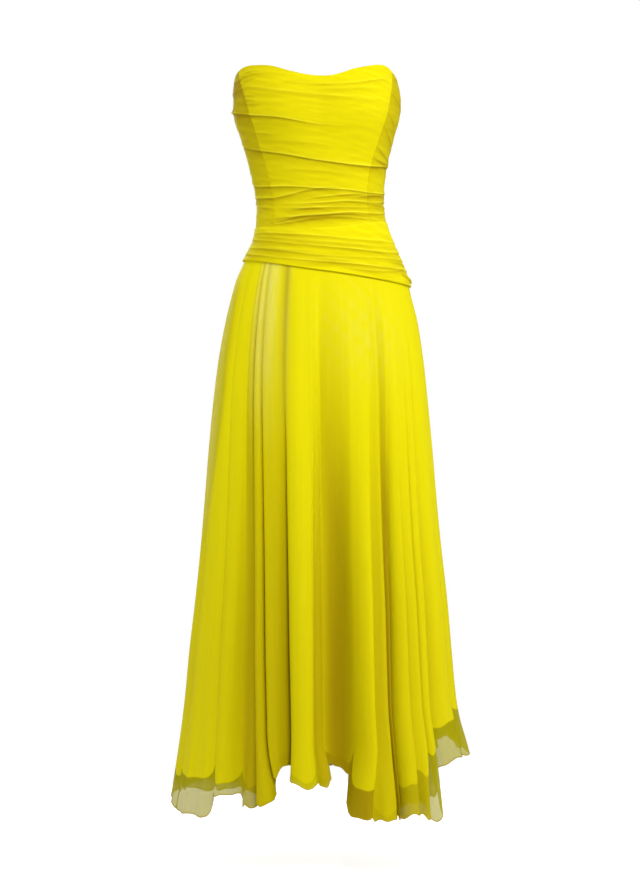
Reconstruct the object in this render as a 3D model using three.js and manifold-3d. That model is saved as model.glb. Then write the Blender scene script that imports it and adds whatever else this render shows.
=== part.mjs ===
// Strapless full-length gown in yellow silk chiffon.
// A boned, draped bodice with princess lines, a draped hip yoke with a slanting lower edge and a
// flared skirt of three layers: an opaque lining, a chiffon underlay and a longer sheer overlay.
// Millimetres, +Z up, front towards -Y, +X to the right of a viewer in front of the gown.
// The origin is the centre of the waist. Azimuth 0 is centre front, 90 the right of the viewer.

import * as THREE from 'three';
import loadManifold from 'manifold-3d';

// ---------------------------------------------------------------- driving sizes, mm and degrees

const SEAM_GAP = 0.3;
const BODICE_WALL = 1.4;
const SKIRT_WALL = 1.0;
const FOLD_BACKING = 0.55;      // share of a drape fold's lift that the inner face follows
const FOLD_FOOT = 3.5;          // height of the step under a drape fold
const YOKE_LOW = -132;          // yoke's lower edge at centre front
const YOKE_SLANT = 23;          // rise of that edge at one side, fall at the other
const TUCK = 8;                 // skirt's seam allowance inside the yoke
const SKIRT_RUN = 900;          // drop over which folds reach their full depth
const BUNCH = 0.2;              // how far fold walls are gathered under their crests
const BACK_EDGE = 180;

const CUP = { out: 12, across: 72, height: 148, halfWidth: 40, halfHeight: 36 };

const COLOURS = {
  bodice: 0xebde03,
  yoke: 0xf1e509,
  overlay: 0xe6dc2a,
  underlay: 0xdccf10,
  lining: 0xdece04,
  zip: 0xcfc018,
};

// Body sections from the top of the bodice to the lowest hem: half widths to the left and right,
// depths to the front and back, and how square the section is (1 is an ellipse).
const SECTIONS = [
  { z: 240, left: 147, right: 130, front: 101, back: 95, square: 0.9 },
  { z: 213, left: 150, right: 135, front: 106, back: 97, square: 0.9 },
  { z: 178, left: 152, right: 141, front: 110, back: 98, square: 0.9 },
  { z: 142, left: 150, right: 138, front: 109, back: 96, square: 0.9 },
  { z: 107, left: 138, right: 128, front: 103, back: 92, square: 0.91 },
  { z: 53, left: 123, right: 116, front: 93, back: 86, square: 0.93 },
  { z: 0, left: 111.5, right: 111, front: 86, back: 82, square: 0.94 },
  { z: -36, left: 111.5, right: 115, front: 88, back: 86, square: 0.94 },
  { z: -71, left: 117, right: 127, front: 95, back: 97, square: 0.93 },
  { z: -107, left: 134, right: 142, front: 104, back: 111, square: 0.93 },
  { z: -142, left: 149, right: 156, front: 112, back: 123, square: 0.94 },
  { z: -178, left: 159, right: 164, front: 118, back: 130, square: 0.95 },
  { z: -214, left: 168, right: 173, front: 124, back: 134, square: 0.96 },
  { z: -285, left: 181, right: 184, front: 132, back: 139, square: 0.97 },
  { z: -356, left: 190, right: 191.5, front: 141, back: 146, square: 0.98 },
  { z: -445, left: 198.5, right: 200, front: 152, back: 156, square: 1 },
  { z: -534, left: 205.5, right: 207.5, front: 163, back: 167, square: 1 },
  { z: -623, left: 213, right: 216.5, front: 175, back: 179, square: 1 },
  { z: -712, left: 222, right: 227, front: 187, back: 191, square: 1 },
  { z: -801, left: 232, right: 235, front: 200, back: 204, square: 1 },
  { z: -890, left: 240, right: 244, front: 213, back: 217, square: 1 },
  { z: -961, left: 249, right: 258, front: 223, back: 228, square: 1 },
  { z: -1090, left: 269, right: 276, front: 238, back: 244, square: 1 },
].reverse();

// Neckline height round the bodice.
const NECKLINE = [
  { az: -180, z: 190 },
  { az: -130, z: 197 },
  { az: -90, z: 212 },
  { az: -74, z: 222 },
  { az: -60, z: 228 },
  { az: -42, z: 223 },
  { az: -18, z: 210 },
  { az: 5, z: 202 },
  { az: 26, z: 212 },
  { az: 44, z: 225 },
  { az: 60, z: 226 },
  { az: 75, z: 216 },
  { az: 90, z: 209 },
  { az: 130, z: 197 },
  { az: 180, z: 190 },
];

// Princess lines: azimuth of each by height.
const PRINCESS = [
  { z: 222, left: -71, right: 70 },
  { z: 178, left: -57, right: 57 },
  { z: 138, left: -50, right: 52 },
  { z: 90, left: -50, right: 50 },
  { z: 30, left: -47, right: 46 },
  { z: -12, left: -45, right: 46 },
  { z: -60, left: -44, right: 46 },
].reverse();

// Seam between the bodice and the hip yoke.
const YOKE_TOP = [
  { az: -180, z: -46 },
  { az: -90, z: -50 },
  { az: -50, z: -53 },
  { az: 0, z: -57 },
  { az: 50, z: -44 },
  { az: 90, z: -40 },
  { az: 180, z: -46 },
];

// Drape folds across the front of the bodice, top to bottom: heights at the left side seam, the
// left princess line, centre front, the right princess line and the right side seam, then lifts.
const FRONT_FOLDS = [
  { sideL: 201, left: 208, mid: 194.5, right: 208, sideR: 199, liftL: 0.6, lift: 1.6, liftR: 0.6 },
  { sideL: 189, left: 191, mid: 173, right: 168, sideR: 172, liftL: 1.8, lift: 1.8, liftR: 0.5 },
  { sideL: 156, left: 141, mid: 121, right: 121, sideR: 130, liftL: 3.2, lift: 1.6, liftR: 0.4 },
  { sideL: 99, left: 80, mid: 60, right: 53, sideR: 58, liftL: 2.2, lift: 2.4, liftR: 2 },
  { sideL: 28, left: 18, mid: 12, right: 7, sideR: 10, liftL: 2, lift: 1.8, liftR: 1.8 },
  { sideL: 2, left: -5, mid: -14, right: -11, sideR: -6, liftL: 1.8, lift: 2.2, liftR: 1.6 },
  { sideL: -28, left: -36, mid: -36, right: -29, sideR: -24, liftL: 0.8, lift: 1.8, liftR: 1.4 },
];

// Drape folds across each half of the back, side seam to centre back.
const BACK_FOLDS = [
  { side: 160, mid: 152, centre: 148, lift: 1.8 },
  { side: 118, mid: 108, centre: 104, lift: 1.4 },
  { side: 74, mid: 66, centre: 64, lift: 2.2 },
  { side: 34, mid: 28, centre: 30, lift: 1.6 },
  { side: 6, mid: 0, centre: 2, lift: 2 },
  { side: -18, mid: -24, centre: -22, lift: 1.6 },
];

// Drape folds round the front of the yoke, same columns as FRONT_FOLDS.
const YOKE_FRONT_FOLDS = [
  { sideL: -59, left: -63, mid: -70, right: -75, sideR: -75, liftL: 1.2, lift: 1.8, liftR: 1.4 },
  { sideL: -69, left: -76.5, mid: -89, right: -96, sideR: -92, liftL: 1.4, lift: 2, liftR: 1.8 },
  { sideL: -82, left: -91, mid: -105, right: -110, sideR: -108, liftL: 1.4, lift: 1.6, liftR: 2 },
  { sideL: -94, left: -102, mid: -117, right: -126, sideR: -126, liftL: 1.6, lift: 1.6, liftR: 1.6 },
];

// Drape folds round each half of the back of the yoke.
const YOKE_BACK_FOLDS = [
  { side: -67, mid: -66, centre: -64, lift: 1.6 },
  { side: -83, mid: -84, centre: -84, lift: 1.8 },
  { side: -98, mid: -102, centre: -106, lift: 1.6 },
];

// Skirt folds once round, from the left of the front. Each row is the arch that starts at the
// crease `hem` (azimuth at the hem) and `top` (azimuth at the yoke) and ends at the next crease.
// depth is that of its first crease at the hem, rise that of its crest, soft rounds the crease,
// gather is the crease's depth at the yoke, start the share of the drop where the fold begins.
// The last three columns are the hem heights of the layers at the crest.
const FOLDS = [
  { hem: -76, top: -78, depth: 14, rise: 0, soft: 0.3, gather: 2, start: 0, steps: 6,
    overlay: -1080, underlay: -1036, lining: -1016 },
  { hem: -51, top: -57, depth: 12, rise: -2, soft: 0.2, gather: 2, start: 0, steps: 4,
    overlay: -1046, underlay: -1030, lining: -1006 },
  { hem: -36, top: -44, depth: 24, rise: -18, soft: 0.5, gather: 2.4, start: 0, steps: 4,
    overlay: -1047, underlay: -1030, lining: -1012 },
  { hem: -26, top: -38, depth: 20, rise: -4, soft: 0.3, gather: 2.4, start: 0, steps: 4,
    overlay: -1038, underlay: -1020, lining: -998 },
  { hem: -21, top: -32, depth: 18, rise: -8, soft: 0.3, gather: 2.4, start: 0, steps: 4,
    overlay: -990, underlay: -986, lining: -966 },
  { hem: -12, top: -19, depth: 28, rise: 4, soft: 0.15, gather: 2, start: 0.03, steps: 6,
    overlay: -1008, underlay: -1006, lining: -1002 },
  { hem: 1.5, top: -2, depth: 30, rise: -24, soft: 0.5, gather: 0, start: 0.12, steps: 4,
    overlay: -993, underlay: -985, lining: -974 },
  { hem: 12.5, top: 15, depth: 30, rise: 4, soft: 0.2, gather: 0, start: 0.18, steps: 6,
    overlay: -1066, underlay: -1050, lining: -1022 },
  { hem: 22, top: 27, depth: 10, rise: 0, soft: 0.2, gather: 0, start: 0.2, steps: 4,
    overlay: -1071, underlay: -1050, lining: -1012 },
  { hem: 29.5, top: 37, depth: 20, rise: 2, soft: 0.15, gather: 0, start: 0.16, steps: 6,
    overlay: -1066, underlay: -1051, lining: -1018 },
  { hem: 47, top: 53, depth: 12, rise: -2, soft: 0.2, gather: 0, start: 0.22, steps: 4,
    overlay: -1078, underlay: -1040, lining: -966 },
  { hem: 53, top: 62, depth: 20, rise: 0, soft: 0.25, gather: 0, start: 0.2, steps: 6,
    overlay: -986, underlay: -960, lining: -916 },
  { hem: 76, top: 78, depth: 10, rise: 0, soft: 0.3, gather: 0, start: 0.2, steps: 6,
    overlay: -981, underlay: -955, lining: -912 },
  { hem: 104, top: 102, depth: 18, rise: 0, soft: 0.3, gather: 0.5, start: 0.1, steps: 4,
    overlay: -1020, underlay: -985, lining: -950 },
  { hem: 119, top: 118, depth: 20, rise: 0, soft: 0.2, gather: 1, start: 0.06, steps: 4,
    overlay: -1046, underlay: -1022, lining: -985 },
  { hem: 133, top: 130, depth: 16, rise: -4, soft: 0.25, gather: 1, start: 0.1, steps: 4,
    overlay: -1066, underlay: -1040, lining: -1004 },
  { hem: 146, top: 143, depth: 26, rise: 2, soft: 0.2, gather: 1, start: 0.05, steps: 4,
    overlay: -1058, underlay: -1036, lining: -1008 },
  { hem: 162, top: 157, depth: 18, rise: -8, soft: 0.3, gather: 1.4, start: 0.05, steps: 4,
    overlay: -1050, underlay: -1032, lining: -1006 },
  { hem: 173, top: 170, depth: 28, rise: 2, soft: 0.2, gather: 1.4, start: 0.03, steps: 4,
    overlay: -1062, underlay: -1040, lining: -1010 },
  { hem: 189, top: 186, depth: 22, rise: 0, soft: 0.2, gather: 1.4, start: 0.05, steps: 4,
    overlay: -1054, underlay: -1034, lining: -1006 },
  { hem: 203, top: 200, depth: 26, rise: -12, soft: 0.4, gather: 1.4, start: 0.05, steps: 4,
    overlay: -1046, underlay: -1030, lining: -1004 },
  { hem: 215, top: 214, depth: 24, rise: 2, soft: 0.2, gather: 1.4, start: 0.03, steps: 4,
    overlay: -1060, underlay: -1040, lining: -1012 },
  { hem: 230, top: 230, depth: 16, rise: 0, soft: 0.3, gather: 1.6, start: 0.04, steps: 4,
    overlay: -1070, underlay: -1044, lining: -1014 },
  { hem: 243, top: 244, depth: 20, rise: 0, soft: 0.25, gather: 1.6, start: 0.02, steps: 4,
    overlay: -1072, underlay: -1042, lining: -1014 },
  { hem: 256, top: 258, depth: 14, rise: 0, soft: 0.3, gather: 1.6, start: 0.02, steps: 6,
    overlay: -1074, underlay: -1038, lining: -1014 },
];
const RIGHT_SEAM_FOLD = 12;     // its crest carries the right side seam
const LEFT_SEAM_FOLD = 24;      // its crest carries the left side seam

// How far each skirt layer lies inside the outer line, by drop below the yoke.
const LAYER_INSETS = [
  { drop: -8, overlay: 0.8, underlay: 2.1, lining: 3.4 },
  { drop: 2, overlay: 0.8, underlay: 2.1, lining: 3.4 },
  { drop: 35, overlay: 0, underlay: 2.4, lining: 5 },
  { drop: 100, overlay: 0, underlay: 4, lining: 9 },
  { drop: 300, overlay: 0, underlay: 5, lining: 11 },
  { drop: 950, overlay: 0, underlay: 6, lining: 13 },
];

// Rows of a skirt panel: drops below the yoke, then shares of the rest of the way to the hem.
const UPPER_DROPS = [-TUCK, 4, 45, 150];
const LOWER_SHARES = [0.3, 0.64, 1];

// Zip slider and pull at the centre back: x across, z up, n outwards from the cloth.
const SLIDER = { z: 176, width: 7.4, length: 11, thick: 2.4 };
const BRIDGE = { width: 2.2, thick: 1, inside: 6, height: 2.2 };
const PULL = { bar: 1, window: 3, reach: 4.7, side: 1.2, end: 1.5, length: 22, tip: 3.4, lift: 1 };
const PULL_DROP = 2;            // pull's hinge below the middle of the slider

// ---------------------------------------------------------------- helpers

const RAD = Math.PI / 180;

const mix = (a, b, t) => a + (b - a) * t;

const ease = (t) => {
  const c = Math.min(1, Math.max(0, t));
  return c * c * (3 - 2 * c);
};

// Value of column `name` at x, by a smooth curve through rows sorted by a rising `key`.
function along(rows, key, name, x) {
  const last = rows.length - 1;
  if (x <= rows[0][key]) return rows[0][name];
  if (x >= rows[last][key]) return rows[last][name];
  let i = 0;
  while (rows[i + 1][key] < x) i += 1;
  const p = rows[i];
  const q = rows[i + 1];
  const span = q[key] - p[key];
  const before = rows[Math.max(0, i - 1)];
  const after = rows[Math.min(last, i + 2)];
  const slopeP = ((q[name] - before[name]) / (q[key] - before[key])) * span;
  const slopeQ = ((after[name] - p[name]) / (after[key] - p[key])) * span;
  const t = (x - p[key]) / span;
  const t2 = t * t;
  const t3 = t2 * t;
  return (2 * t3 - 3 * t2 + 1) * p[name] + (t3 - 2 * t2 + t) * slopeP
    + (3 * t2 - 2 * t3) * q[name] + (t3 - t2) * slopeQ;
}

const power = (v, e) => Math.sign(v) * Math.abs(v) ** e;

// Point of the body section at an azimuth and height, before the cups.
function sectionPoint(az, z) {
  const s = Math.sin(az * RAD);
  const c = Math.cos(az * RAD);
  const e = along(SECTIONS, 'z', 'square', z);
  const half = along(SECTIONS, 'z', s < 0 ? 'left' : 'right', z);
  const deep = along(SECTIONS, 'z', c > 0 ? 'front' : 'back', z);
  return [half * power(s, e), -deep * power(c, e)];
}

// Horizontal normal of the section, pointing out.
function sectionNormal(az, z) {
  const a = sectionPoint(az - 0.5, z);
  const b = sectionPoint(az + 0.5, z);
  const dx = b[0] - a[0];
  const dy = b[1] - a[1];
  const long = Math.hypot(dx, dy);
  return [dy / long, -dx / long];
}

function cupLift(x, z) {
  const across = (Math.abs(x) - CUP.across) / CUP.halfWidth;
  const up = (z - CUP.height) / CUP.halfHeight;
  return CUP.out * Math.exp(-(across * across + up * up) / 2);
}

// Point of the gown's form, moved out by `out` along the horizontal normal.
function formPoint(az, z, out) {
  const p = sectionPoint(az, z);
  const n = sectionNormal(az, z);
  const cup = Math.cos(az * RAD) > 0 ? cupLift(p[0], z) * Math.cos(az * RAD) ** 0.5 : 0;
  return new THREE.Vector3(p[0] + n[0] * (out + cup), p[1] + n[1] * (out + cup), z);
}

// Closed wall between two grids of points of the same size, as one mesh.
function wallMesh(name, outer, inner, colour) {
  const rows = outer.length;
  const cols = outer[0].length;
  const points = [];
  for (const grid of [outer, inner]) {
    for (const row of grid) {
      for (const p of row) points.push(p.x, p.y, p.z);
    }
  }
  const at = (side, r, c) => side * rows * cols + r * cols + c;
  const faces = [];
  const quad = (a, b, c, d) => faces.push(a, b, c, a, c, d);
  for (let r = 0; r < rows - 1; r += 1) {
    for (let c = 0; c < cols - 1; c += 1) {
      quad(at(0, r, c), at(0, r + 1, c), at(0, r + 1, c + 1), at(0, r, c + 1));
      quad(at(1, r, c), at(1, r, c + 1), at(1, r + 1, c + 1), at(1, r + 1, c));
    }
  }
  for (let c = 0; c < cols - 1; c += 1) {
    quad(at(0, 0, c), at(0, 0, c + 1), at(1, 0, c + 1), at(1, 0, c));
    quad(at(0, rows - 1, c + 1), at(0, rows - 1, c), at(1, rows - 1, c), at(1, rows - 1, c + 1));
  }
  for (let r = 0; r < rows - 1; r += 1) {
    quad(at(0, r + 1, 0), at(0, r, 0), at(1, r, 0), at(1, r + 1, 0));
    quad(at(0, r, cols - 1), at(0, r + 1, cols - 1), at(1, r + 1, cols - 1), at(1, r, cols - 1));
  }
  const geometry = new THREE.BufferGeometry();
  geometry.setAttribute('position', new THREE.Float32BufferAttribute(points, 3));
  geometry.setIndex(faces);
  return solid(name, geometry, colour, 0.75);
}

function solid(name, geometry, colour, roughness, metalness = 0) {
  geometry.computeVertexNormals();
  const material = new THREE.MeshStandardMaterial({ color: colour, roughness, metalness });
  const mesh = new THREE.Mesh(geometry, material);
  mesh.name = name;
  return mesh;
}

// Moves the first and last columns of a grid half a seam gap into their own panel.
function openSeams(grid) {
  for (const row of grid) {
    const last = row.length - 1;
    for (const [edge, next] of [[0, 1], [last, last - 1]]) {
      const step = new THREE.Vector3(row[next].x - row[edge].x, row[next].y - row[edge].y, 0);
      row[edge].add(step.setLength(SEAM_GAP / 2));
    }
  }
  return grid;
}

// ---------------------------------------------------------------- bodice and yoke

// Height and lift of a front fold at an azimuth.
function frontFold(fold, az) {
  const rows = [
    { az: -90, z: fold.sideL, lift: fold.liftL },
    { az: -50, z: fold.left, lift: fold.liftL },
    { az: 0, z: fold.mid, lift: fold.lift },
    { az: 50, z: fold.right, lift: fold.liftR },
    { az: 90, z: fold.sideR, lift: fold.liftR },
  ];
  return { z: along(rows, 'az', 'z', az), lift: along(rows, 'az', 'lift', az) };
}

// Height and lift of a back fold: the lift dies away at the centre back, under the zip.
function backFold(fold, az) {
  const from = Math.abs(az);
  const rows = [
    { az: 90, z: fold.side, lift: fold.lift * 0.7 },
    { az: 135, z: fold.mid, lift: fold.lift },
    { az: 168, z: fold.centre, lift: fold.lift * 0.4 },
    { az: 180, z: fold.centre, lift: 0 },
  ];
  return { z: along(rows, 'az', 'z', from), lift: along(rows, 'az', 'lift', from) };
}

// Rows of a draped panel at an azimuth, top to bottom: each fold has a slope down to it, a crest
// and a foot. topLift rounds the upper edge out over what is above it.
function drapeRows(az, top, bottom, folds, foldAt, topLift) {
  const rows = [{ z: top, lift: topLift }];
  for (const fold of folds) {
    const crest = foldAt(fold, az);
    const above = rows[rows.length - 1].z;
    rows.push({ z: mix(above, crest.z, 0.5), lift: crest.lift * 0.3 });
    rows.push({ z: crest.z, lift: crest.lift });
    rows.push({ z: crest.z - FOLD_FOOT, lift: 0 });
  }
  const above = rows[rows.length - 1].z;
  rows.push({ z: mix(above, bottom, 0.5), lift: 0.2 });
  rows.push({ z: bottom, lift: 0.4 });
  return rows;
}

// A draped wall panel. azAt gives the azimuth of a column share u at a height z.
function drapedPanel(name, columns, azAt, rowsAt, colour) {
  const count = rowsAt(azAt(0.5, 0)).length;
  const outer = [];
  const inner = [];
  for (let r = 0; r < count; r += 1) {
    outer.push([]);
    inner.push([]);
    for (let c = 0; c <= columns; c += 1) {
      let z = rowsAt(azAt(c / columns, 0))[r].z;
      let az = azAt(c / columns, z);
      for (let pass = 0; pass < 3; pass += 1) {
        z = rowsAt(az)[r].z;
        az = azAt(c / columns, z);
      }
      const { lift } = rowsAt(az)[r];
      outer[r].push(formPoint(az, z, BODICE_WALL + lift));
      inner[r].push(formPoint(az, z, lift * FOLD_BACKING));
    }
  }
  return wallMesh(name, openSeams(outer), openSeams(inner), colour);
}

const neckline = (az) => along(NECKLINE, 'az', 'z', az);
const yokeTop = (az) => along(YOKE_TOP, 'az', 'z', az);
const yokeLow = (az) => YOKE_LOW - YOKE_SLANT * Math.sin(az * RAD);
const princess = (side, z) => along(PRINCESS, 'z', side, z);

const frontRows = (az) => drapeRows(
  az, neckline(az), yokeTop(az) + SEAM_GAP / 2, FRONT_FOLDS, frontFold, 0);
const backRows = (az) => drapeRows(
  az, neckline(az), yokeTop(az) + SEAM_GAP / 2, BACK_FOLDS, backFold, 0);
const yokeFrontRows = (az) => drapeRows(
  az, yokeTop(az) - SEAM_GAP / 2, yokeLow(az), YOKE_FRONT_FOLDS, frontFold, 1);
const yokeBackRows = (az) => drapeRows(
  az, yokeTop(az) - SEAM_GAP / 2, yokeLow(az), YOKE_BACK_FOLDS, backFold, 0.6);

function bodicePanels() {
  return [
    drapedPanel('bodice_front', 12,
      (u, z) => mix(princess('left', z), princess('right', z), u), frontRows, COLOURS.bodice),
    drapedPanel('bodice_side_left', 5,
      (u, z) => mix(-90, princess('left', z), u), frontRows, COLOURS.bodice),
    drapedPanel('bodice_side_right', 5,
      (u, z) => mix(princess('right', z), 90, u), frontRows, COLOURS.bodice),
    drapedPanel('bodice_back_left', 8,
      (u) => mix(-BACK_EDGE, -90, u), backRows, COLOURS.bodice),
    drapedPanel('bodice_back_right', 8,
      (u) => mix(90, BACK_EDGE, u), backRows, COLOURS.bodice),
    drapedPanel('yoke_front', 24, (u) => mix(-90, 90, u), yokeFrontRows, COLOURS.yoke),
    drapedPanel('yoke_back_left', 11,
      (u) => mix(-BACK_EDGE, -90, u), yokeBackRows, COLOURS.yoke),
    drapedPanel('yoke_back_right', 11,
      (u) => mix(90, BACK_EDGE, u), yokeBackRows, COLOURS.yoke),
  ];
}

// ---------------------------------------------------------------- skirt

// The fold after each fold, with its azimuths carried on past a full turn.
const NEXT_FOLDS = FOLDS.map((fold, k) => {
  const next = FOLDS[(k + 1) % FOLDS.length];
  const turn = k + 1 === FOLDS.length ? 360 : 0;
  return { ...next, hem: next.hem + turn, top: next.top + turn };
});

// Hem height of a layer at an azimuth, eased from crest to crest.
function hemHeight(layer, az) {
  const crests = FOLDS.map((fold, k) => (
    { az: (fold.hem + NEXT_FOLDS[k].hem) / 2, z: fold[layer] }));
  const count = crests.length;
  const turned = crests[0].az + ((((az - crests[0].az) % 360) + 360) % 360);
  let i = 0;
  while (i + 1 < count && crests[i + 1].az <= turned) i += 1;
  const from = crests[i];
  const to = i + 1 < count ? crests[i + 1] : { az: crests[0].az + 360, z: crests[0].z };
  return mix(from.z, to.z, ease((turned - from.az) / (to.az - from.az)));
}

// Arch of a fold between two creases: 0 at the creases, 1 at the crest.
function arch(u, soft) {
  const s = Math.sin(Math.PI * u);
  return (Math.hypot(s, soft) - soft) / (Math.hypot(1, soft) - soft);
}

// Depth of a crease at a drop below the yoke.
function creaseDepth(fold, drop) {
  const t = Math.max(0, drop) / SKIRT_RUN;
  const grown = (t - fold.start) / (1 - fold.start);
  const shown = ease(drop / 30);
  return fold.gather * shown + (fold.depth - fold.gather) * Math.max(0, grown) ** 1.25;
}

// Point of a skirt layer on fold k at share u of its width, and at a drop below the yoke.
function skirtPoint(layer, k, u, drop, wall) {
  const fold = FOLDS[k];
  const next = NEXT_FOLDS[k];
  const t = Math.max(0, drop) / SKIRT_RUN;
  const turn = 2 * Math.PI * u - Math.PI;
  const placed = 0.5 + (turn + BUNCH * Math.min(1, t * 2) * Math.sin(2 * turn)) / (2 * Math.PI);
  const az = mix(mix(fold.top, fold.hem, t), mix(next.top, next.hem, t), placed);
  const z = yokeLow(az) - drop;
  const soft = mix(fold.soft, next.soft, u);
  const depth = mix(creaseDepth(fold, drop), creaseDepth(next, drop), u);
  const g = arch(u, soft);
  const out = fold.rise * g * ease(t * 1.2) - depth * (1 - g);
  const inset = along(LAYER_INSETS, 'drop', layer, drop);
  const p = sectionPoint(az, z);
  const n = sectionNormal(az, z);
  const move = out - inset - wall;
  return new THREE.Vector3(p[0] + n[0] * move, p[1] + n[1] * move, z);
}

// Columns of a skirt panel, from one side seam to the other: fold and share of its width.
function skirtColumns(firstFold, lastFold) {
  const columns = [];
  let k = firstFold;
  for (;;) {
    const { steps } = FOLDS[k];
    const from = k === firstFold ? steps / 2 : 0;
    const to = k === lastFold ? steps / 2 : steps - 1;
    for (let s = from; s <= to; s += 1) columns.push({ k, u: s / steps });
    if (k === lastFold) return columns;
    k = (k + 1) % FOLDS.length;
  }
}

function hemDrop(layer, column) {
  const mid = skirtPoint(layer, column.k, column.u, SKIRT_RUN, 0);
  const az = Math.atan2(mid.x, -mid.y) / RAD;
  return yokeLow(az) - hemHeight(layer, az);
}

function skirtPanel(name, layer, columns) {
  const hems = columns.map((column) => hemDrop(layer, column));
  const upper = UPPER_DROPS.map((drop) => hems.map(() => drop));
  const rest = UPPER_DROPS[UPPER_DROPS.length - 1];
  const lower = LOWER_SHARES.map((share) => hems.map((hem) => mix(rest, hem, share)));
  const rows = [...upper, ...lower];
  const gridAt = (wall) => rows.map((drops) => (
    columns.map((column, c) => skirtPoint(layer, column.k, column.u, drops[c], wall))));
  return wallMesh(name, openSeams(gridAt(0)), openSeams(gridAt(SKIRT_WALL)), COLOURS[layer]);
}

function skirtPanels() {
  const front = skirtColumns(LEFT_SEAM_FOLD, RIGHT_SEAM_FOLD);
  const back = skirtColumns(RIGHT_SEAM_FOLD, LEFT_SEAM_FOLD);
  return ['overlay', 'underlay', 'lining'].flatMap((layer) => [
    skirtPanel(`skirt_${layer}_front`, layer, front),
    skirtPanel(`skirt_${layer}_back`, layer, back),
  ]);
}

// ---------------------------------------------------------------- zip slider and pull

// Outermost cloth under the slider, on the centre back.
function sliderSeat() {
  let seat = 0;
  for (let up = -0.5; up <= 0.5; up += 0.125) {
    const p = formPoint(BACK_EDGE, SLIDER.z + up * SLIDER.length, BODICE_WALL);
    seat = Math.max(seat, p.y);
  }
  return seat + SEAM_GAP;
}

function boxShape(left, right, low, high) {
  const shape = new THREE.Shape();
  shape.moveTo(left, low);
  shape.lineTo(right, low);
  shape.lineTo(right, high);
  shape.lineTo(left, high);
  shape.closePath();
  return shape;
}

// The slider: a plate with a bridge over it, joined into one body.
function sliderMesh(Manifold, seat) {
  const box = (x, y, z, at) => Manifold.cube([x, y, z], true).translate(at);
  const outside = BRIDGE.inside + 2 * BRIDGE.thick;
  const rise = BRIDGE.height + BRIDGE.thick;
  const plate = box(SLIDER.width, SLIDER.thick, SLIDER.length, [0, SLIDER.thick / 2, 0]);
  const over = box(BRIDGE.width, rise + 1, outside, [0, SLIDER.thick + (rise - 1) / 2, 0]);
  const under = box(
    BRIDGE.width + 2, BRIDGE.height, BRIDGE.inside, [0, SLIDER.thick + BRIDGE.height / 2, 0]);
  const body = plate.add(over.subtract(under)).translate([0, seat, SLIDER.z]);
  const mesh = body.getMesh();
  const geometry = new THREE.BufferGeometry();
  const stride = mesh.numProp;
  const points = [];
  for (let i = 0; i < mesh.vertProperties.length; i += stride) {
    points.push(...mesh.vertProperties.slice(i, i + 3));
  }
  geometry.setAttribute('position', new THREE.Float32BufferAttribute(points, 3));
  geometry.setIndex([...mesh.triVerts]);
  return solid('zip_slider', geometry, COLOURS.zip, 0.4, 0.3);
}

// The pull: a tab with a window that takes the bridge, hung on its upper bar.
function pullMesh(seat) {
  const half = PULL.window / 2 + PULL.side;
  const head = PULL.reach + PULL.end;
  const outline = new THREE.Shape();
  outline.moveTo(-half, PULL.bar / 2);
  outline.lineTo(-half, -head);
  outline.lineTo(-PULL.tip / 2, -head - 2);
  outline.lineTo(-half, -PULL.length + 3);
  outline.lineTo(-PULL.tip / 2, -PULL.length);
  outline.lineTo(PULL.tip / 2, -PULL.length);
  outline.lineTo(half, -PULL.length + 3);
  outline.lineTo(PULL.tip / 2, -head - 2);
  outline.lineTo(half, -head);
  outline.lineTo(half, PULL.bar / 2);
  outline.closePath();
  outline.holes.push(
    boxShape(-PULL.window / 2, PULL.window / 2, -PULL.reach, -PULL.bar / 2));
  const geometry = new THREE.ExtrudeGeometry(
    outline, { depth: PULL.bar, bevelEnabled: false });
  geometry.translate(0, 0, -PULL.bar / 2);
  geometry.rotateX(Math.PI / 2);
  geometry.translate(0, seat + SLIDER.thick + PULL.lift, SLIDER.z - PULL_DROP);
  return solid('zip_pull', geometry, COLOURS.zip, 0.4, 0.3);
}

// ---------------------------------------------------------------- gown

const { Manifold } = await loadManifold().then((library) => {
  library.setup();
  return library;
});

const gown = new THREE.Group();
gown.name = 'strapless_gown';
const seat = sliderSeat();
gown.add(...bodicePanels(), ...skirtPanels(), sliderMesh(Manifold, seat), pullMesh(seat));

export default gown;
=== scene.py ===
"""Strapless chiffon gown: draped bodice, slanting hip yoke and a three-layer skirt with a loose hem."""

import bpy
import numpy as np
from bpy.props import FloatProperty, FloatVectorProperty, PointerProperty
from bpy.types import Operator, Panel, PropertyGroup
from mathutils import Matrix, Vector


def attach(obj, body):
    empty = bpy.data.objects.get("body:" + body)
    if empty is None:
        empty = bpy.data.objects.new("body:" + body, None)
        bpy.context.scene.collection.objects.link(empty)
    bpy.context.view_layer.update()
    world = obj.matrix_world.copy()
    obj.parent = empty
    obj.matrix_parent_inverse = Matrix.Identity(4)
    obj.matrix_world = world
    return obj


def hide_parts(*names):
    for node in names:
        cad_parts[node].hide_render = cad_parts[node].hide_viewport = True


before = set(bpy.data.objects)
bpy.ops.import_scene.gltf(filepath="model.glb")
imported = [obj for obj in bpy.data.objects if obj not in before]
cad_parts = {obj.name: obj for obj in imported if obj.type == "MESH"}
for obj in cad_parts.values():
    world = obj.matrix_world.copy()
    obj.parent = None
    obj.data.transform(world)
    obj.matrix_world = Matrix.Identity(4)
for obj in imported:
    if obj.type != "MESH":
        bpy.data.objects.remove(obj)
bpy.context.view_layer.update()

bl_info = {
    "name": "Chiffon Gown",
    "version": (1, 0, 0),
    "blender": (4, 5, 0),
    "location": "3D View > Sidebar > Gown",
    "description": "Makes a strapless chiffon gown piece by piece",
    "category": "Add Mesh",
}

# ------------------------------------------------------------------ cut of the gown, mm and degrees
# Azimuth 0 is centre front and 90 the right of a viewer in front. +Z is up, -Y is the front.

def table(columns, *rows):
    """Rows with named columns."""
    return [dict(zip(columns.split(), row)) for row in rows]


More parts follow.
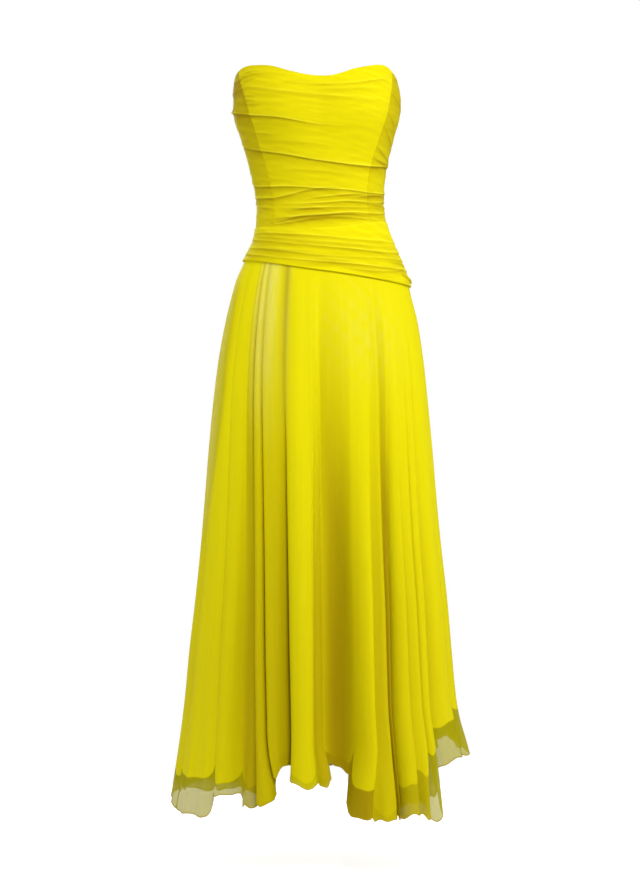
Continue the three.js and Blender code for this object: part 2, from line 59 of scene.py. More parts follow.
SEAM_GAP = 0.06  # a sewn seam is closed to a hair
BODICE_WALL = 1.4
YOKE_LOW = -132.0
YOKE_SLANT = 23.0
TUCK = 8.0
SKIRT_RUN = 900.0
PLY = 0.3  # half of a ply's thickness

CUP = {"out": 12, "across": 72, "height": 148, "half_width": 40, "half_height": 36}

# Body sections: half widths to the left and right, depths to front and back, squareness.
SECTIONS = table(
    "z left right front back square",
    (-1090, 269, 276, 238, 244, 1),
    (-961, 249, 258, 223, 228, 1),
    (-890, 240, 244, 213, 217, 1),
    (-801, 232, 235, 200, 204, 1),
    (-712, 222, 227, 187, 191, 1),
    (-623, 213, 216.5, 175, 179, 1),
    (-534, 205.5, 207.5, 163, 167, 1),
    (-445, 198.5, 200, 152, 156, 1),
    (-356, 190, 191.5, 141, 146, 0.98),
    (-285, 181, 184, 132, 139, 0.97),
    (-214, 168, 173, 124, 134, 0.96),
    (-178, 159, 164, 118, 130, 0.95),
    (-142, 149, 156, 112, 123, 0.94),
    (-107, 134, 142, 104, 111, 0.93),
    (-71, 117, 127, 95, 97, 0.93),
    (-36, 111.5, 115, 88, 86, 0.94),
    (0, 111.5, 111, 86, 82, 0.94),
    (53, 123, 116, 93, 86, 0.93),
    (107, 138, 128, 103, 92, 0.91),
    (142, 150, 138, 109, 96, 0.9),
    (178, 152, 141, 110, 98, 0.9),
    (213, 150, 135, 106, 97, 0.9),
    (240, 147, 130, 101, 95, 0.9),
)

NECKLINE = table(
    "az z",
    (-180, 190), (-130, 197), (-90, 212), (-74, 222), (-60, 228.5), (-46, 228.5), (-31, 224.5),
    (-18, 214.5), (-5, 206.5), (5, 205.5), (14, 211), (22, 218), (30, 222.5), (40, 227), (50, 230),
    (60, 228.5), (75, 217), (90, 209), (130, 197), (180, 190),
)

PRINCESS = table(
    "z left right",
    (-60, -44, 46), (-12, -45, 46), (30, -47, 46), (90, -50, 50), (138, -50, 52), (178, -57, 57),
    (222, -71, 70),
)

YOKE_TOP = table(
    "az z",
    (-180, -46), (-90, -50), (-50, -53), (0, -57), (50, -44), (90, -40), (180, -46),
)


def ridge(az, z, lift, above, below):
    """A ridge of the drape through points of azimuth, height and lift, with its softness above
    the ridge and below it, in mm."""
    return {"az": az, "z": z, "lift": lift, "above": above, "below": below}


def back_pair(right, right_lift, left, left_lift, above, below):
    """A ridge of the back: the heights and lifts of its right and left half."""
    return {"right": right, "right_lift": right_lift, "left": left, "left_lift": left_lift,
            "above": above, "below": below}


# Folds of the drape that the rows of the cloth follow, top to bottom.
DRAPE_FOLDS = [
    ridge((-90, -70, -50, -25, 0, 25, 50, 90), (186, 190, 191, 181, 172, 168, 168, 172),
          (2.2, 1.3, 0.9, 1.0, 1.0, 0.6, 0.1, 0.1), 10, 5),
    ridge((-90, -70, -50, -25, 0, 25, 50, 90), (154, 148, 141, 133, 121, 118, 121, 130),
          (5.5, 3.0, 2.3, 2.0, 1.0, 0.1, 0.1, 0.1), 6, 1.6),
    ridge((-90, -70, -50, -25, 0, 25, 50, 90), (99, 88, 80, 71, 60, 54, 53, 58),
          (1.4, 1.6, 2.2, 2.5, 2.6, 2.6, 2.6, 2.0), 6, 1.4),
    ridge((-90, -70, -50, -25, 0, 25, 50, 90), (29, 21, 18, 16, 12, 10, 7, 10),
          (2.6, 2.2, 2.0, 1.9, 1.9, 1.9, 1.9, 2.2), 4, 1.3),
    ridge((-90, -50, -25, 0, 25, 50, 90), (-8, -12, -14, -13, -9, -10, -4),
          (0.1, 0.1, 0.5, 1.5, 1.9, 1.5, 1.8), 4.5, 1.6),
    ridge((-90, -50, -25, 0, 25, 50, 90), (-30, -38, -37, -34, -29, -29, -24),
          (0.2, 0.3, 1.5, 1.9, 1.9, 1.6, 1.2), 5, 1.6),
]
YOKE_FOLDS = [
    ridge((-90, -50, -25, 0, 25, 50, 90), (-60, -63, -67, -71, -76, -77, -77),
          (0.8, 1.5, 1.9, 1.6, 1.2, 1.4, 1.4), 5, 2.2),
    ridge((-90, -50, -25, 0, 25, 50, 90), (-70, -77, -83, -89, -94, -97, -94),
          (1.6, 1.6, 1.0, 1.6, 2.2, 2.0, 2.2), 5, 2.0),
    ridge((-90, -50, -25, 0, 25, 50, 90), (-84, -91, -97, -105, -108, -108, -109),
          (1.0, 1.8, 1.8, 1.3, 0.8, 1.4, 2.4), 5, 2.2),
    ridge((-90, -50, -25, 0, 25, 50, 90), (-95, -103, -110, -116, -121, -125, -127),
          (1.9, 1.6, 1.2, 1.7, 2.2, 2.0, 1.8), 5, 1.8),
]
# The same on the back, with the heights and lifts of both halves from the side seam to the zip:
# they start where the front's folds end at the side seams.
BACK_AT = (90, 112, 135, 158, 180)
BACK_FOLDS = [
    back_pair((172, 167, 161, 157, 155), (0.8, 0.7, 0.3, 0.0, 0.1),
              (186, 177, 166, 158, 155), (1.9, 1.3, 0.6, 0.2, 0.0), 9, 4),
    back_pair((130, 126, 121, 116, 113), (0.9, 1.4, 1.0, 0.4, 0.1),
              (154, 143, 131, 119, 113), (2.2, 1.7, 0.9, 0.5, 0.2), 8, 3),
    back_pair((58, 65, 71, 73, 74), (2.0, 1.4, 0.6, 0.2, 0.4),
              (99, 93, 84, 77, 74), (1.4, 1.0, 1.3, 0.6, 0.1), 7, 2.4),
    back_pair((10, 16, 24, 31, 34), (2.1, 1.7, 1.1, 0.6, 0.2),
              (29, 32, 36, 35, 34), (1.8, 0.8, 0.3, 0.7, 0.4), 6, 2.2),
    back_pair((-4, -4, -1, 3, 6), (1.7, 0.8, 0.2, 0.5, 0.7),
              (-8, -4, 3, 6, 6), (1.2, 1.6, 1.1, 0.4, 0.1), 5, 2),
    back_pair((-24, -27, -27, -25, -23), (0.8, 1.2, 1.5, 0.9, 0.3),
              (-30, -31, -27, -24, -23), (0.8, 0.6, 1.1, 1.3, 0.5), 5, 2),
]
YOKE_BACK_FOLDS = [
    back_pair((-77, -73, -68, -64, -62), (1.2, 1.4, 0.8, 0.2, 0.5),
              (-60, -62, -64, -63, -62), (0.8, 0.9, 0.3, 0.6, 0.4), 6, 2.4),
    back_pair((-94, -91, -85, -80, -77), (1.6, 0.9, 0.3, 0.9, 0.5),
              (-70, -74, -78, -79, -77), (1.4, 1.1, 1.3, 0.5, 0.1), 6, 2.2),
    back_pair((-109, -104, -101, -97, -95), (1.8, 1.6, 1.3, 0.5, 0.1),
              (-84, -86, -92, -95, -95), (1.0, 0.4, 0.8, 1.3, 0.6), 5, 2.2),
    back_pair((-127, -122, -116, -112, -110), (1.5, 0.9, 0.6, 1.2, 0.4),
              (-95, -100, -106, -109, -110), (1.6, 1.4, 0.8, 0.3, 0.5), 6, 2),
]
# Lesser creases of the back's right half; the left half has the same ones a little higher.
BACK_CREASES = [
    ridge((90, 108, 128), (150, 146, 138), (0.9, 1.0, 0), 4, 2.4),
    ridge((96, 120, 150), (96, 98, 92), (0, 1.1, 0), 5, 2.6),
    ridge((90, 104, 124), (82, 84, 80), (1.0, 1.1, 0), 4, 2.2),
    ridge((118, 146, 176), (140, 136, 138), (0, 0.9, 0), 5, 3),
    ridge((90, 108, 130), (40, 46, 52), (1.2, 1.2, 0), 4, 2.2),
    ridge((126, 150, 178), (54, 50, 52), (0, 1.1, 0.3), 4, 2.4),
    ridge((90, 112, 138), (2, 6, 13), (1.3, 1.3, 0), 3.4, 2),
    ridge((130, 152, 172), (16, 17, 14), (0, 1.2, 0), 3.4, 2),
    ridge((90, 106, 126), (-14, -14, -11), (1.1, 1.2, 0), 3.2, 2),
    ridge((120, 148, 176), (-14, -11, -8), (0, 1.1, 0), 3.4, 2),
    ridge((98, 124, 156), (-38, -36, -35), (0, 1.2, 0), 3.2, 2),
    ridge((104, 128, 160), (-80, -76, -72), (0, 1.2, 0), 3.6, 2),
    ridge((92, 112, 136), (-100, -98, -92), (1.1, 1.2, 0), 3.4, 2),
    ridge((124, 150, 177), (-90, -87, -87), (0, 1.1, 0.2), 3.6, 2),
    ridge((108, 136, 164), (-114, -108, -104), (0, 1.3, 0), 3.2, 2),
]

# Lesser creases, laid over the rows.
BODICE_CREASES = [
    ridge((-68, -60, -48, -34), (206, 216, 220, 218), (0.9, 1.0, 0.8, 0), 3, 1.8),
    ridge((-72, -62, -50, -30), (200, 210, 214, 213), (0.8, 0.9, 0.7, 0), 3, 1.8),
    ridge((-68, -56, -44), (194, 203, 207), (0.7, 0.8, 0), 3, 2),
    ridge((-24, -4, 22, 46, 62), (199, 191, 194, 204, 207), (0, 0.9, 1.0, 0.9, 0), 4, 2),
    ridge((-8, 20, 48), (183, 184, 192), (0, 0.7, 0), 5, 3),
    ridge((-62, -52, -42), (178, 176, 172), (0, 0.9, 0), 2.5, 1.8),
    ridge((-60, -50, -38), (171, 168, 165), (0, 0.8, 0), 2.5, 1.8),
    ridge((-58, -48, -38), (163, 160, 157), (0, 0.8, 0), 2.5, 1.8),
    ridge((-54, -42, -30), (112, 109, 104), (0, 1.0, 0), 3, 1.8),
    ridge((-50, -20, 12), (100, 93, 88), (0, 0.6, 0), 6, 4),
    ridge((-44, 0, 40), (50, 43, 34), (0, 0.7, 0), 7, 4),
    ridge((-88, -60, -42, -24, -8, 10, 22), (3, -1, -2, 3, 10, 14, 12),
          (2.4, 2.0, 1.9, 1.8, 1.6, 1.0, 0), 3.4, 1.4),
    ridge((-20, 4, 30, 60), (-8, -2, 3, 2), (0, 1.4, 1.5, 0), 3.2, 1.5),
    ridge((20, 40, 60, 88), (-4, 0, 4, 5), (0, 1.3, 1.7, 1.6), 3, 1.5),
    ridge((-40, -14, 8), (-20, -22, -21), (0, 1.3, 0), 3, 1.8),
    ridge((-36, -10, 24, 70), (-27, -22, -20, -17), (0, 1.1, 1.2, 0), 3.4, 1.8),
    ridge((-60, -34, -10, 16), (-48, -42, -34, -30), (0, 1.4, 1.2, 0), 3.2, 1.8),
    ridge((-52, -43, -25, 11, 47, 74, 86), (-50, -49, -46, -37, -39.5, -38, -35),
          (0, 1.2, 1.5, 1.5, 1.4, 1.2, 0), 3.2, 1.8),
    ridge((-20, 2, 26, 48), (-43, -34, -31, -34), (0, 1.0, 1.0, 0), 3, 1.8),
    ridge((-84, -60, -40), (-14, -17, -22), (0, 1.1, 0), 3, 2),
    ridge((46, 66, 88), (-14, -12, -16), (0, 1.5, 1.4), 2.8, 1.6),
    ridge((50, 66, 90), (150, 132, 96), (0, 1.1, 0.8), 4, 2.2),
    ridge((50, 66, 90), (128, 108, 84), (0, 1.2, 0.9), 4, 2.2),
    ridge((52, 66, 90), (188, 176, 152), (0, 1.0, 0.8), 4, 2.6),
    ridge((48, 62, 90), (92, 78, 64), (0, 1.3, 1.2), 3.4, 1.8),
    ridge((44, 60, 90), (72, 64, 60), (0, 1.4, 1.2), 3, 1.6),
]
YOKE_CREASES = [
    ridge((-78, -50, -20, 8), (-66, -70, -76, -81), (0, 1.1, 1.0, 0), 3, 1.8),
    ridge((-30, 0, 34, 76), (-78, -81, -86, -88), (0, 1.0, 1.2, 0), 3, 1.8),
    ridge((-70, -34, 6), (-86, -92, -101), (0, 1.0, 0), 3, 1.8),
    ridge((-12, 6, 28), (-111, -112, -117), (0, 1.4, 0), 3, 1.8),
    ridge((10, 30, 50, 76), (-126, -131, -131, -124), (0, 1.7, 1.6, 0), 3.4, 1.8),
    ridge((48, 66, 90), (-112, -114, -118), (0, 1.5, 1.6), 3, 1.8),
    ridge((64, 74, 84, 94), (-131, -137, -143, -149), (0, 4.0, 6.0, 4.5), 5, 3),
    ridge((-88, -60, -30), (-102, -108, -113), (0, 1.0, 0), 3, 1.8),
]
FULL_RELIEF = 0.62  # relief at which a ridge's masks are at full strength
REACH_STEPS = 37  # azimuths at which a panel's rows are counted
# Rows across a followed fold, as heights from its ridge.
FOLD_ROWS_AT = (8, 5.6, 3.8, 2.4, 1.3, 0.5, 0.0, -0.4, -0.8, -1.3, -2.0, -3.2, -5)

# Skirt folds once round. Each row starts from the crease at the fold's left:
#   hem, top: azimuth of that crease at the hem and at the yoke
#   flare: degrees that the crease swings in the last of the hem
#   depth, rise: depth of the crease and rise of the crest, in mm
#   soft, gather: roundness of the crease, and depth of the gathers at the yoke in mm
#   start: share of the skirt above the fold
#   crest, tube: place of the crest across the fold, and how tube-like its walls are
#   dark, floor: shade of the crease and of the whole fold
#   notch: how far the hem is notched up in the crease, in mm
#   sheer, inside: how sheer the hem is, and the shade inside its loop
#   slant: how far the hem rises from left to right, in mm
#   overlay, underlay, lining: heights of the three hems at the crest
FOLD_COLUMNS = ("hem", "top", "flare", "depth", "rise", "soft", "gather", "start", "crest",
                "tube", "dark", "floor", "notch", "sheer", "inside", "slant", "overlay",
                "underlay", "lining")
FOLD_ROWS = [
    (-76, -78, 0, 6, 0, 0.3, 1.6, 0, 0.5, 0.5, 0.12, 0, -3, 1, 0, 8, -1075, -1031, -1013),
    (-46.5, -58, 0, 5, -1, 0.4, 1, 0, 0.3, 0.5, 0.12, 0.09, 6, 0.95, 0, 0, -1032, -1022, -1012),
    (-36.5, -46, 1.4, 24, -20, 0.5, 2, 0, 0.5, 0.5, 0.2, 0.62, 0, 0.6, 0.1, 0, -1054, -1030, -1020),
    (-26.5, -42.5, 0, 26, -2, 0.3, 2.4, 0, 0.5, 0.9, 0.8, 0.42, 3, 0.15, 0, 4, -1041, -1039, -1036),
    (-21.6, -36.5, 3.6, 23, -8, 0.3, 2.4, 0, 0.32, 0.7, 0.7, 0.4, 10, 0.1, 0, 34, -990, -986, -968),
    (-11.8, -21.5, -1, 38, 4, 0.15, 4, 0.03, 0.5, 0.9, 0.72, 0.05, 8, 0.3, 0, 0, -1010, -1007, -1000),
    (-2.2, -5, 2, 6, -2, 0.3, 0, 0.45, 0.4, 0.7, 0.15, 0.58, 2, 0.3, 0, 0, -1010, -1007, -998),
    (1.8, -1, 4.4, 38, -40, 0.5, 0, 0, 0.5, 0.6, 0.35, 0.78, 6, 0.08, 0.5, -16, -986, -982, -972),
    (14.8, 16, -4, 36, 4, 0.2, 0, 0.18, 0.72, 0.8, 0.35, 0.05, 14, 0.04, 0.95, -12, -1064, -1052, -1016),
    (22.4, 26.5, -3.2, 10, -2, 0.2, 0, 0.2, 0.6, 0.8, 0.25, 0.36, 2, 0.1, 0.1, 0, -1074, -1070, -1066),
    (29.4, 33, 1.2, 16, -8, 0.3, 0, 0.02, 0.5, 0.5, 0.4, 0.85, 5, 0.1, 0.8, 0, -1068, -1052, -1030),
    (30.3, 39.5, 1, 22, 2, 0.15, 0, 0.12, 0.6, 0.8, 0.5, 0.14, 2, 0.3, 0.35, 0, -1068, -1050, -1018),
    (39.5, 45, 0, 7, 0, 0.2, 0, 0.2, 0.6, 0.7, 0.45, 0.1, 0, 0.35, 0.3, 0, -1070, -1050, -998),
    (47, 52.5, -1, 14, -2, 0.2, 0, 0.1, 0.5, 0.8, 0.65, 0.04, 5, 1, 0, 0, -1078, -1036, -966),
    (53, 61, 1, 20, 0, 0.25, 0, 0.08, 0.6, 0.8, 0.7, 0, 8, 1, 0, 33, -985, -940, -921),
    (76, 78, 0, 10, 0, 0.3, 0, 0.2, 0.5, 0.6, 0.12, 0, 0, 1, 0, 8, -978, -966, -900),
    (104, 102, 0, 22, 0, 0.3, 0.5, 0.1, 0.4, 0.7, 0.4, 0, 8, 0.9, 0, 0, -968, -938, -905),
    (119, 118, -2, 24, 0, 0.2, 1, 0.06, 0.6, 0.8, 0.6, 0, 6, 0.9, 0, 0, -986, -952, -930),
    (133, 130, 2, 18, -10, 0.25, 1, 0.1, 0.5, 0.6, 0.4, 0.35, 4, 0.85, 0, 0, -1018, -992, -966),
    (146, 143, -1, 32, 2, 0.2, 1, 0.05, 0.4, 0.9, 0.9, 0, 12, 0.85, 0, 0, -1034, -1018, -996),
    (162, 157, 2, 22, -10, 0.3, 1.4, 0.05, 0.6, 0.6, 0.5, 0.3, 5, 0.85, 0, 0, -1028, -1012, -990),
    (173, 170, 0, 34, 2, 0.2, 1.4, 0.03, 0.5, 0.9, 0.9, 0, 10, 0.85, 0, 0, -1040, -1022, -996),
    (189, 186, 1, 24, 0, 0.2, 1.4, 0.05, 0.6, 0.8, 0.6, 0, 6, 0.85, 0, 0, -1032, -1016, -990),
    (203, 200, -2, 32, -22, 0.4, 1.4, 0.05, 0.5, 0.6, 0.4, 0.6, 12, 0.85, 0, 0, -1026, -1012, -988),
    (215, 214, 0, 30, 2, 0.2, 1.4, 0.03, 0.4, 0.9, 0.6, 0, 8, 0.85, 0, 0, -1044, -1026, -1000),
    (230, 230, 2, 18, 0, 0.3, 1.6, 0.04, 0.6, 0.8, 0.5, 0, 5, 0.9, 0, 0, -1052, -1026, -1000),
    (243, 244, -1, 22, 0, 0.25, 1.6, 0.02, 0.4, 0.8, 0.5, 0, 6, 0.9, 0, 0, -1056, -1026, -1002),
    (256, 258, 0, 9, 0, 0.3, 1.6, 0.02, 0.5, 0.6, 0.14, 0, 2, 0.95, 0, -60, -1060, -1032, -1010),
]
FOLDS = {name: np.array([row[i] for row in FOLD_ROWS], float)
         for i, name in enumerate(FOLD_COLUMNS)}
RIGHT_SEAM_FOLD = 15
LEFT_SEAM_FOLD = 27
TOP_ROWS = (-TUCK, -4.0, -1, 1, 3, 6, 10, 15, 22, 30, 40)  # drops of a ply's first rows
HEM_BEAD = 2.2  # height of the rolled hem, in mm
# Rows of the rolled hem: heights above its edge, and thickness as shares of its own.
ROLL = {"rise": (1.7, 1.25, 0.85, 0.5, 0.2, 0.0), "swell": (0.6, 0.9, 1.05, 1.0, 0.8, 0.45)}
HEM_TIP = {"from": 800, "over": 110}  # drop where the creases begin to swing, and over what

# What sets each layer's hang apart: phase of its waver, and how tube-like its folds are.
LAYER_HANG = {
    "overlay": {"phase": 0.3, "tube": 1},
    "underlay": {"phase": 1.7, "tube": 0.85},
    "lining": {"phase": 3.1, "tube": 0.65},
}

# Zip inside the centre back: half width and thickness of the tape, its two ends, pitch, reach
# and wire radius of the coil, how far the coil stops below the tape's top and the tape lies behind
# the cloth, and the tape's flat size in metres. On the flat of the back the tape comes out wider.
ZIP = {"half": 12.0, "tape": 0.5, "top": 178.0, "low": -128.0, "pitch": 1.6, "reach": 1.5,
       "wire": 0.32, "stop": 8.0, "behind": 0.6, "flat": (0.024, 0.33)}

# Down the left side the overlay swings clear of the layers below it: how far, by height, and the
# azimuth of the line where that begins, by drop below the yoke.
SIDE_CLEARANCE = table(
    "z clear",
    (-640, 0), (-623, 3), (-534, 8), (-445, 14), (-356, 19), (-285, 16), (-200, 4), (-150, 0),
)
SIDE_STRIP = table(
    "drop az",
    (-10, -79), (60, -73), (105, -69.5), (245, -64.5), (385, -70), (480, -78), (620, -92),
)

# How far each layer lies inside the outer line, by drop below the yoke.
LAYER_INSETS = table(
    "drop overlay underlay lining",
    (-8, 1.3, 2.6, 3.9),
    (2, 1.2, 2.6, 3.9),
    (35, 0.5, 2.6, 5),
    (100, 0.5, 4.2, 9),
    (300, 0.5, 5.2, 11),
    (950, 0.5, 6.4, 13),
)

# Soft lights round the gown: place, height of what each is aimed at, and size, in metres.
LIGHTS = table(
    "name place aim size",
    ('key', (0.6, -2.1, 1.45), -0.1, 1.3),
    ('right', (2.8, -1.3, 0.2), -0.4, 1.6),
    ('left', (-2.8, -1.1, 0.2), -0.4, 1.6),
    ('back', (-0.6, 3.0, 1.2), -0.3, 2.0),
)
# Camera: distance in front of the gown and height from its waist in metres, lens and sensor in mm.
CAMERA = {"distance": 4.2, "height": -0.432, "lens": 95.9, "sensor": 36}


# ------------------------------------------------------------------ curves and the gown's form

def curve_through(rows, key, name, x):
    """Smooth curve through table rows: a cubic on each span whose end slopes are those of the
    chords between the rows before and after, held level outside the table."""
    xs = np.array([row[key] for row in rows], float)
    ys = np.array([row[name] for row in rows], float)
    return smooth_curve(xs, ys, x)


def smooth_curve(xs, ys, x):
    """The cubic of curve_through on plain arrays."""
    x = np.clip(np.asarray(x, float), xs[0], xs[-1])
    i = np.clip(np.searchsorted(xs, x, side="right") - 1, 0, len(xs) - 2)
    before, after = np.maximum(i - 1, 0), np.minimum(i + 2, len(xs) - 1)
    span = xs[i + 1] - xs[i]
    slope_p = (ys[i + 1] - ys[before]) / (xs[i + 1] - xs[before]) * span
    slope_q = (ys[after] - ys[i]) / (xs[after] - xs[i]) * span
    t = (x - xs[i]) / span
    return ((2 * t**3 - 3 * t**2 + 1) * ys[i] + (t**3 - 2 * t**2 + t) * slope_p
            + (3 * t**2 - 2 * t**3) * ys[i + 1] + (t**3 - t**2) * slope_q)


def ease(t):
    """Smooth step from 0 to 1."""
    t = np.clip(t, 0, 1)
    return t * t * (3 - 2 * t)


def wrapped(az):
    """Azimuth brought between -180 and 180."""
    return np.mod(az + 180, 360) - 180


def mix(a, b, t):
    """Straight blend from a to b."""
    return a + (b - a) * t


def section_point(az, z):
    """Rounded-square section: half width times a power of the sine of the azimuth, and depth
    times the same power of its cosine."""
    s, c = np.sin(np.radians(az)), np.cos(np.radians(az))
    e = curve_through(SECTIONS, "z", "square", z)
    half = np.where(s < 0, curve_through(SECTIONS, "z", "left", z),
                    curve_through(SECTIONS, "z", "right", z))
    deep = np.where(c > 0, curve_through(SECTIONS, "z", "front", z),
                    curve_through(SECTIONS, "z", "back", z))
    return half * np.sign(s) * np.abs(s) ** e, -deep * np.sign(c) * np.abs(c) ** e


def section_normal(az, z):
    """Level normal of the section, from the chord between points half a degree to each side."""
    ax, ay = section_point(az - 0.5, z)
    bx, by = section_point(az + 0.5, z)
    long = np.hypot(bx - ax, by - ay)
    return (by - ay) / long, -(bx - ax) / long


def form_point(az, z, out):
    """Point of the gown's form, with the cups' two soft mounds, moved out along the level normal."""
    x, y = section_point(az, z)
    nx, ny = section_normal(az, z)
    front = np.clip(np.cos(np.radians(az)), 0, 1) ** 0.5
    across = (np.abs(x) - CUP["across"]) / CUP["half_width"]
    up = (z - CUP["height"]) / CUP["half_height"]
    out = out + CUP["out"] * np.exp(-(across**2 + up**2) / 2) * front
    return np.stack([x + nx * out, y + ny * out, np.broadcast_to(z, x.shape)], -1)


def neckline(az):
    """Height of the neckline."""
    return curve_through(NECKLINE, "az", "z", az)


def yoke_top(az):
    """Height of the seam between the bodice and the yoke."""
    return curve_through(YOKE_TOP, "az", "z", az)


def yoke_low(az):
    """Height of the yoke's slanting lower edge."""
    return YOKE_LOW - YOKE_SLANT * np.sin(np.radians(az))


# ------------------------------------------------------------------ meshes

def grid_normals(grid):
    """Normals of a grid of points: across the differences along its rows and columns."""
    down = np.gradient(grid, axis=0)
    side = np.gradient(grid, axis=1)
    n = np.cross(side, -down)
    return n / np.maximum(np.linalg.norm(n, axis=-1, keepdims=True), 1e-9)


def placed(name, mesh, material):
    """The mesh as an object of the scene, with its material."""
    mesh.materials.append(material)
    obj = bpy.data.objects.new(name, mesh)
    bpy.context.scene.collection.objects.link(obj)
    return obj


def shell_object(name, outer, inner, uv, masks, material):
    """Closed shell between two grids of points in mm: the outer face, the inner face turned
    round, and a rim along each of the four edges. uv is in metres, masks are point attributes."""
    rows, cols = outer.shape[:2]
    points = np.concatenate([outer.reshape(-1, 3), inner.reshape(-1, 3)]) * 0.001
    ids = np.arange(rows * cols).reshape(rows, cols)
    back = ids + rows * cols

    def quads(a, b, c, d):
        return np.stack([a.ravel(), b.ravel(), c.ravel(), d.ravel()], 1)

    faces = np.concatenate([
        quads(ids[:-1, :-1], ids[1:, :-1], ids[1:, 1:], ids[:-1, 1:]),
        quads(back[:-1, :-1], back[:-1, 1:], back[1:, 1:], back[1:, :-1]),
        quads(ids[0, :-1], ids[0, 1:], back[0, 1:], back[0, :-1]),
        quads(ids[-1, 1:], ids[-1, :-1], back[-1, :-1], back[-1, 1:]),
        quads(ids[1:, 0], ids[:-1, 0], back[:-1, 0], back[1:, 0]),
        quads(ids[:-1, -1], ids[1:, -1], back[1:, -1], back[:-1, -1]),
    ])
    mesh = bpy.data.meshes.new(name)
    mesh.vertices.add(len(points))
    mesh.vertices.foreach_set("co", points.ravel().astype(np.float32))
    mesh.loops.add(faces.size)
    mesh.loops.foreach_set("vertex_index", faces.ravel().astype(np.int32))
    mesh.polygons.add(len(faces))
    mesh.polygons.foreach_set("loop_start", np.arange(0, faces.size, 4, dtype=np.int32))
    mesh.polygons.foreach_set("use_smooth", np.ones(len(faces), bool))
    mesh.update(calc_edges=True)
    layer = mesh.uv_layers.new(name="cloth")
    flat_uv = np.concatenate([uv.reshape(-1, 2), uv.reshape(-1, 2)])
    layer.data.foreach_set("uv", flat_uv[faces.ravel()].ravel().astype(np.float32))
    for label, values in masks.items():
        attribute = mesh.attributes.new(label, "FLOAT", "POINT")
        both = np.concatenate([values.ravel(), values.ravel()])
        attribute.data.foreach_set("value", both.astype(np.float32))
    mesh.validate()
    return placed(name, mesh, material)


def settle(obj, node):
    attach(obj, "gown")
    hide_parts(node)


def cloth_uv(grid):
    """Distance along the middle row and down each column, in metres."""
    rows = len(grid)
    across = np.linalg.norm(np.diff(grid[rows // 2], axis=0), axis=-1)
    down = np.linalg.norm(np.diff(grid, axis=0), axis=-1)
    u = np.concatenate([[0], np.cumsum(across)])
    v = np.concatenate([np.zeros((1, grid.shape[1])), np.cumsum(down, axis=0)])
    return np.stack([np.broadcast_to(u, v.shape), -v], -1) * 0.001


def open_seams(grid, gap):
    """Moves the first and last columns half a seam gap into their own panel."""
    for edge, near in ((0, 1), (-1, -2)):
        step = grid[:, near, :2] - grid[:, edge, :2]
        step /= np.maximum(np.linalg.norm(step, axis=-1, keepdims=True), 1e-9)
        grid[:, edge, :2] += step * gap / 2
    return grid


# ------------------------------------------------------------------ draped bodice and yoke

def ridge_line(fold, az):
    """Height and lift of a fold along its azimuths, held level past its ends."""
    at = np.array(fold["az"], float)
    return (smooth_curve(at, np.array(fold["z"], float), az),
            np.maximum(smooth_curve(at, np.array(fold["lift"], float), az), 0))


def back_folds(folds, side):
    """The folds of one half of the back, with the left half's azimuths turned round."""
    if side == "right":
        return [{**fold, "az": BACK_AT, "z": fold["right"], "lift": fold["right_lift"]}
                for fold in folds]
    return [{**fold, "az": tuple(-a for a in BACK_AT[::-1]), "z": fold["left"][::-1],
             "lift": fold["left_lift"][::-1]} for fold in folds]


def left_creases(creases, rise):
    """Creases turned round to the left half and moved up a little."""
    return [{**crease, "az": tuple(-a for a in crease["az"][::-1]),
             "z": tuple(z + rise for z in crease["z"][::-1]), "lift": crease["lift"][::-1]}
            for crease in creases]


def drape_relief(folds, az, z):
    """Relief of the drape, with masks of the painted highlight along its ridges and the painted shade
    in its hollows. Over each ridge the cloth rises in a bell, and under it drops within a narrow
    step to a shallow gutter that fades away."""
    lift = np.zeros(z.shape)
    crest = np.zeros(z.shape)
    hollow = np.zeros(z.shape)
    for fold in folds:
        line, height = ridge_line(fold, az)
        d = z - line
        over = np.exp(-np.abs(d / fold["above"]) ** 1.5)
        gutter = -0.3 * np.exp(-np.maximum(-d - fold["below"], 0) / 5)
        under = mix(1, gutter, ease(-d / (fold["below"] * 1.5)))
        lift += height * np.where(d >= 0, over, under)
        strength = np.minimum(height / 2.2, 1.2)
        # Painted highlight along each ridge, and painted shade in a line under it and more broadly
        # below.
        crest += strength * np.exp(-((d - 0.6) / 1.6) ** 2)
        deep = fold["below"] * 0.7 + 1.4
        hollow += strength * 0.34 * np.exp(-((d + deep) / (deep * 0.5 + 1.1)) ** 2)
        hollow += strength * 0.22 * np.exp(-((d + deep * 2) / (deep * 4)) ** 2)
    return lift, crest, hollow


def crinkle(az, z, seed, amount):
    """Faint crinkles that run with the drape: a sum of long shallow waves of fixed random
    directions and phases, of amplitude falling with their frequency."""
    rng = np.random.default_rng(seed)
    x = az * 2.1
    total = np.zeros(z.shape)
    for _ in range(26):
        slope = rng.normal(-0.14, 0.12)
        pitch = rng.uniform(4.5, 22)
        phase = rng.uniform(0, 6.28)
        drift = rng.uniform(50, 160)
        gate = 0.5 + 0.5 * np.sin(x / drift * 6.28 + rng.uniform(0, 6.28))
        total += np.sin((z - slope * x) / pitch * 6.28 + phase) * gate * pitch / 22
    return total * amount


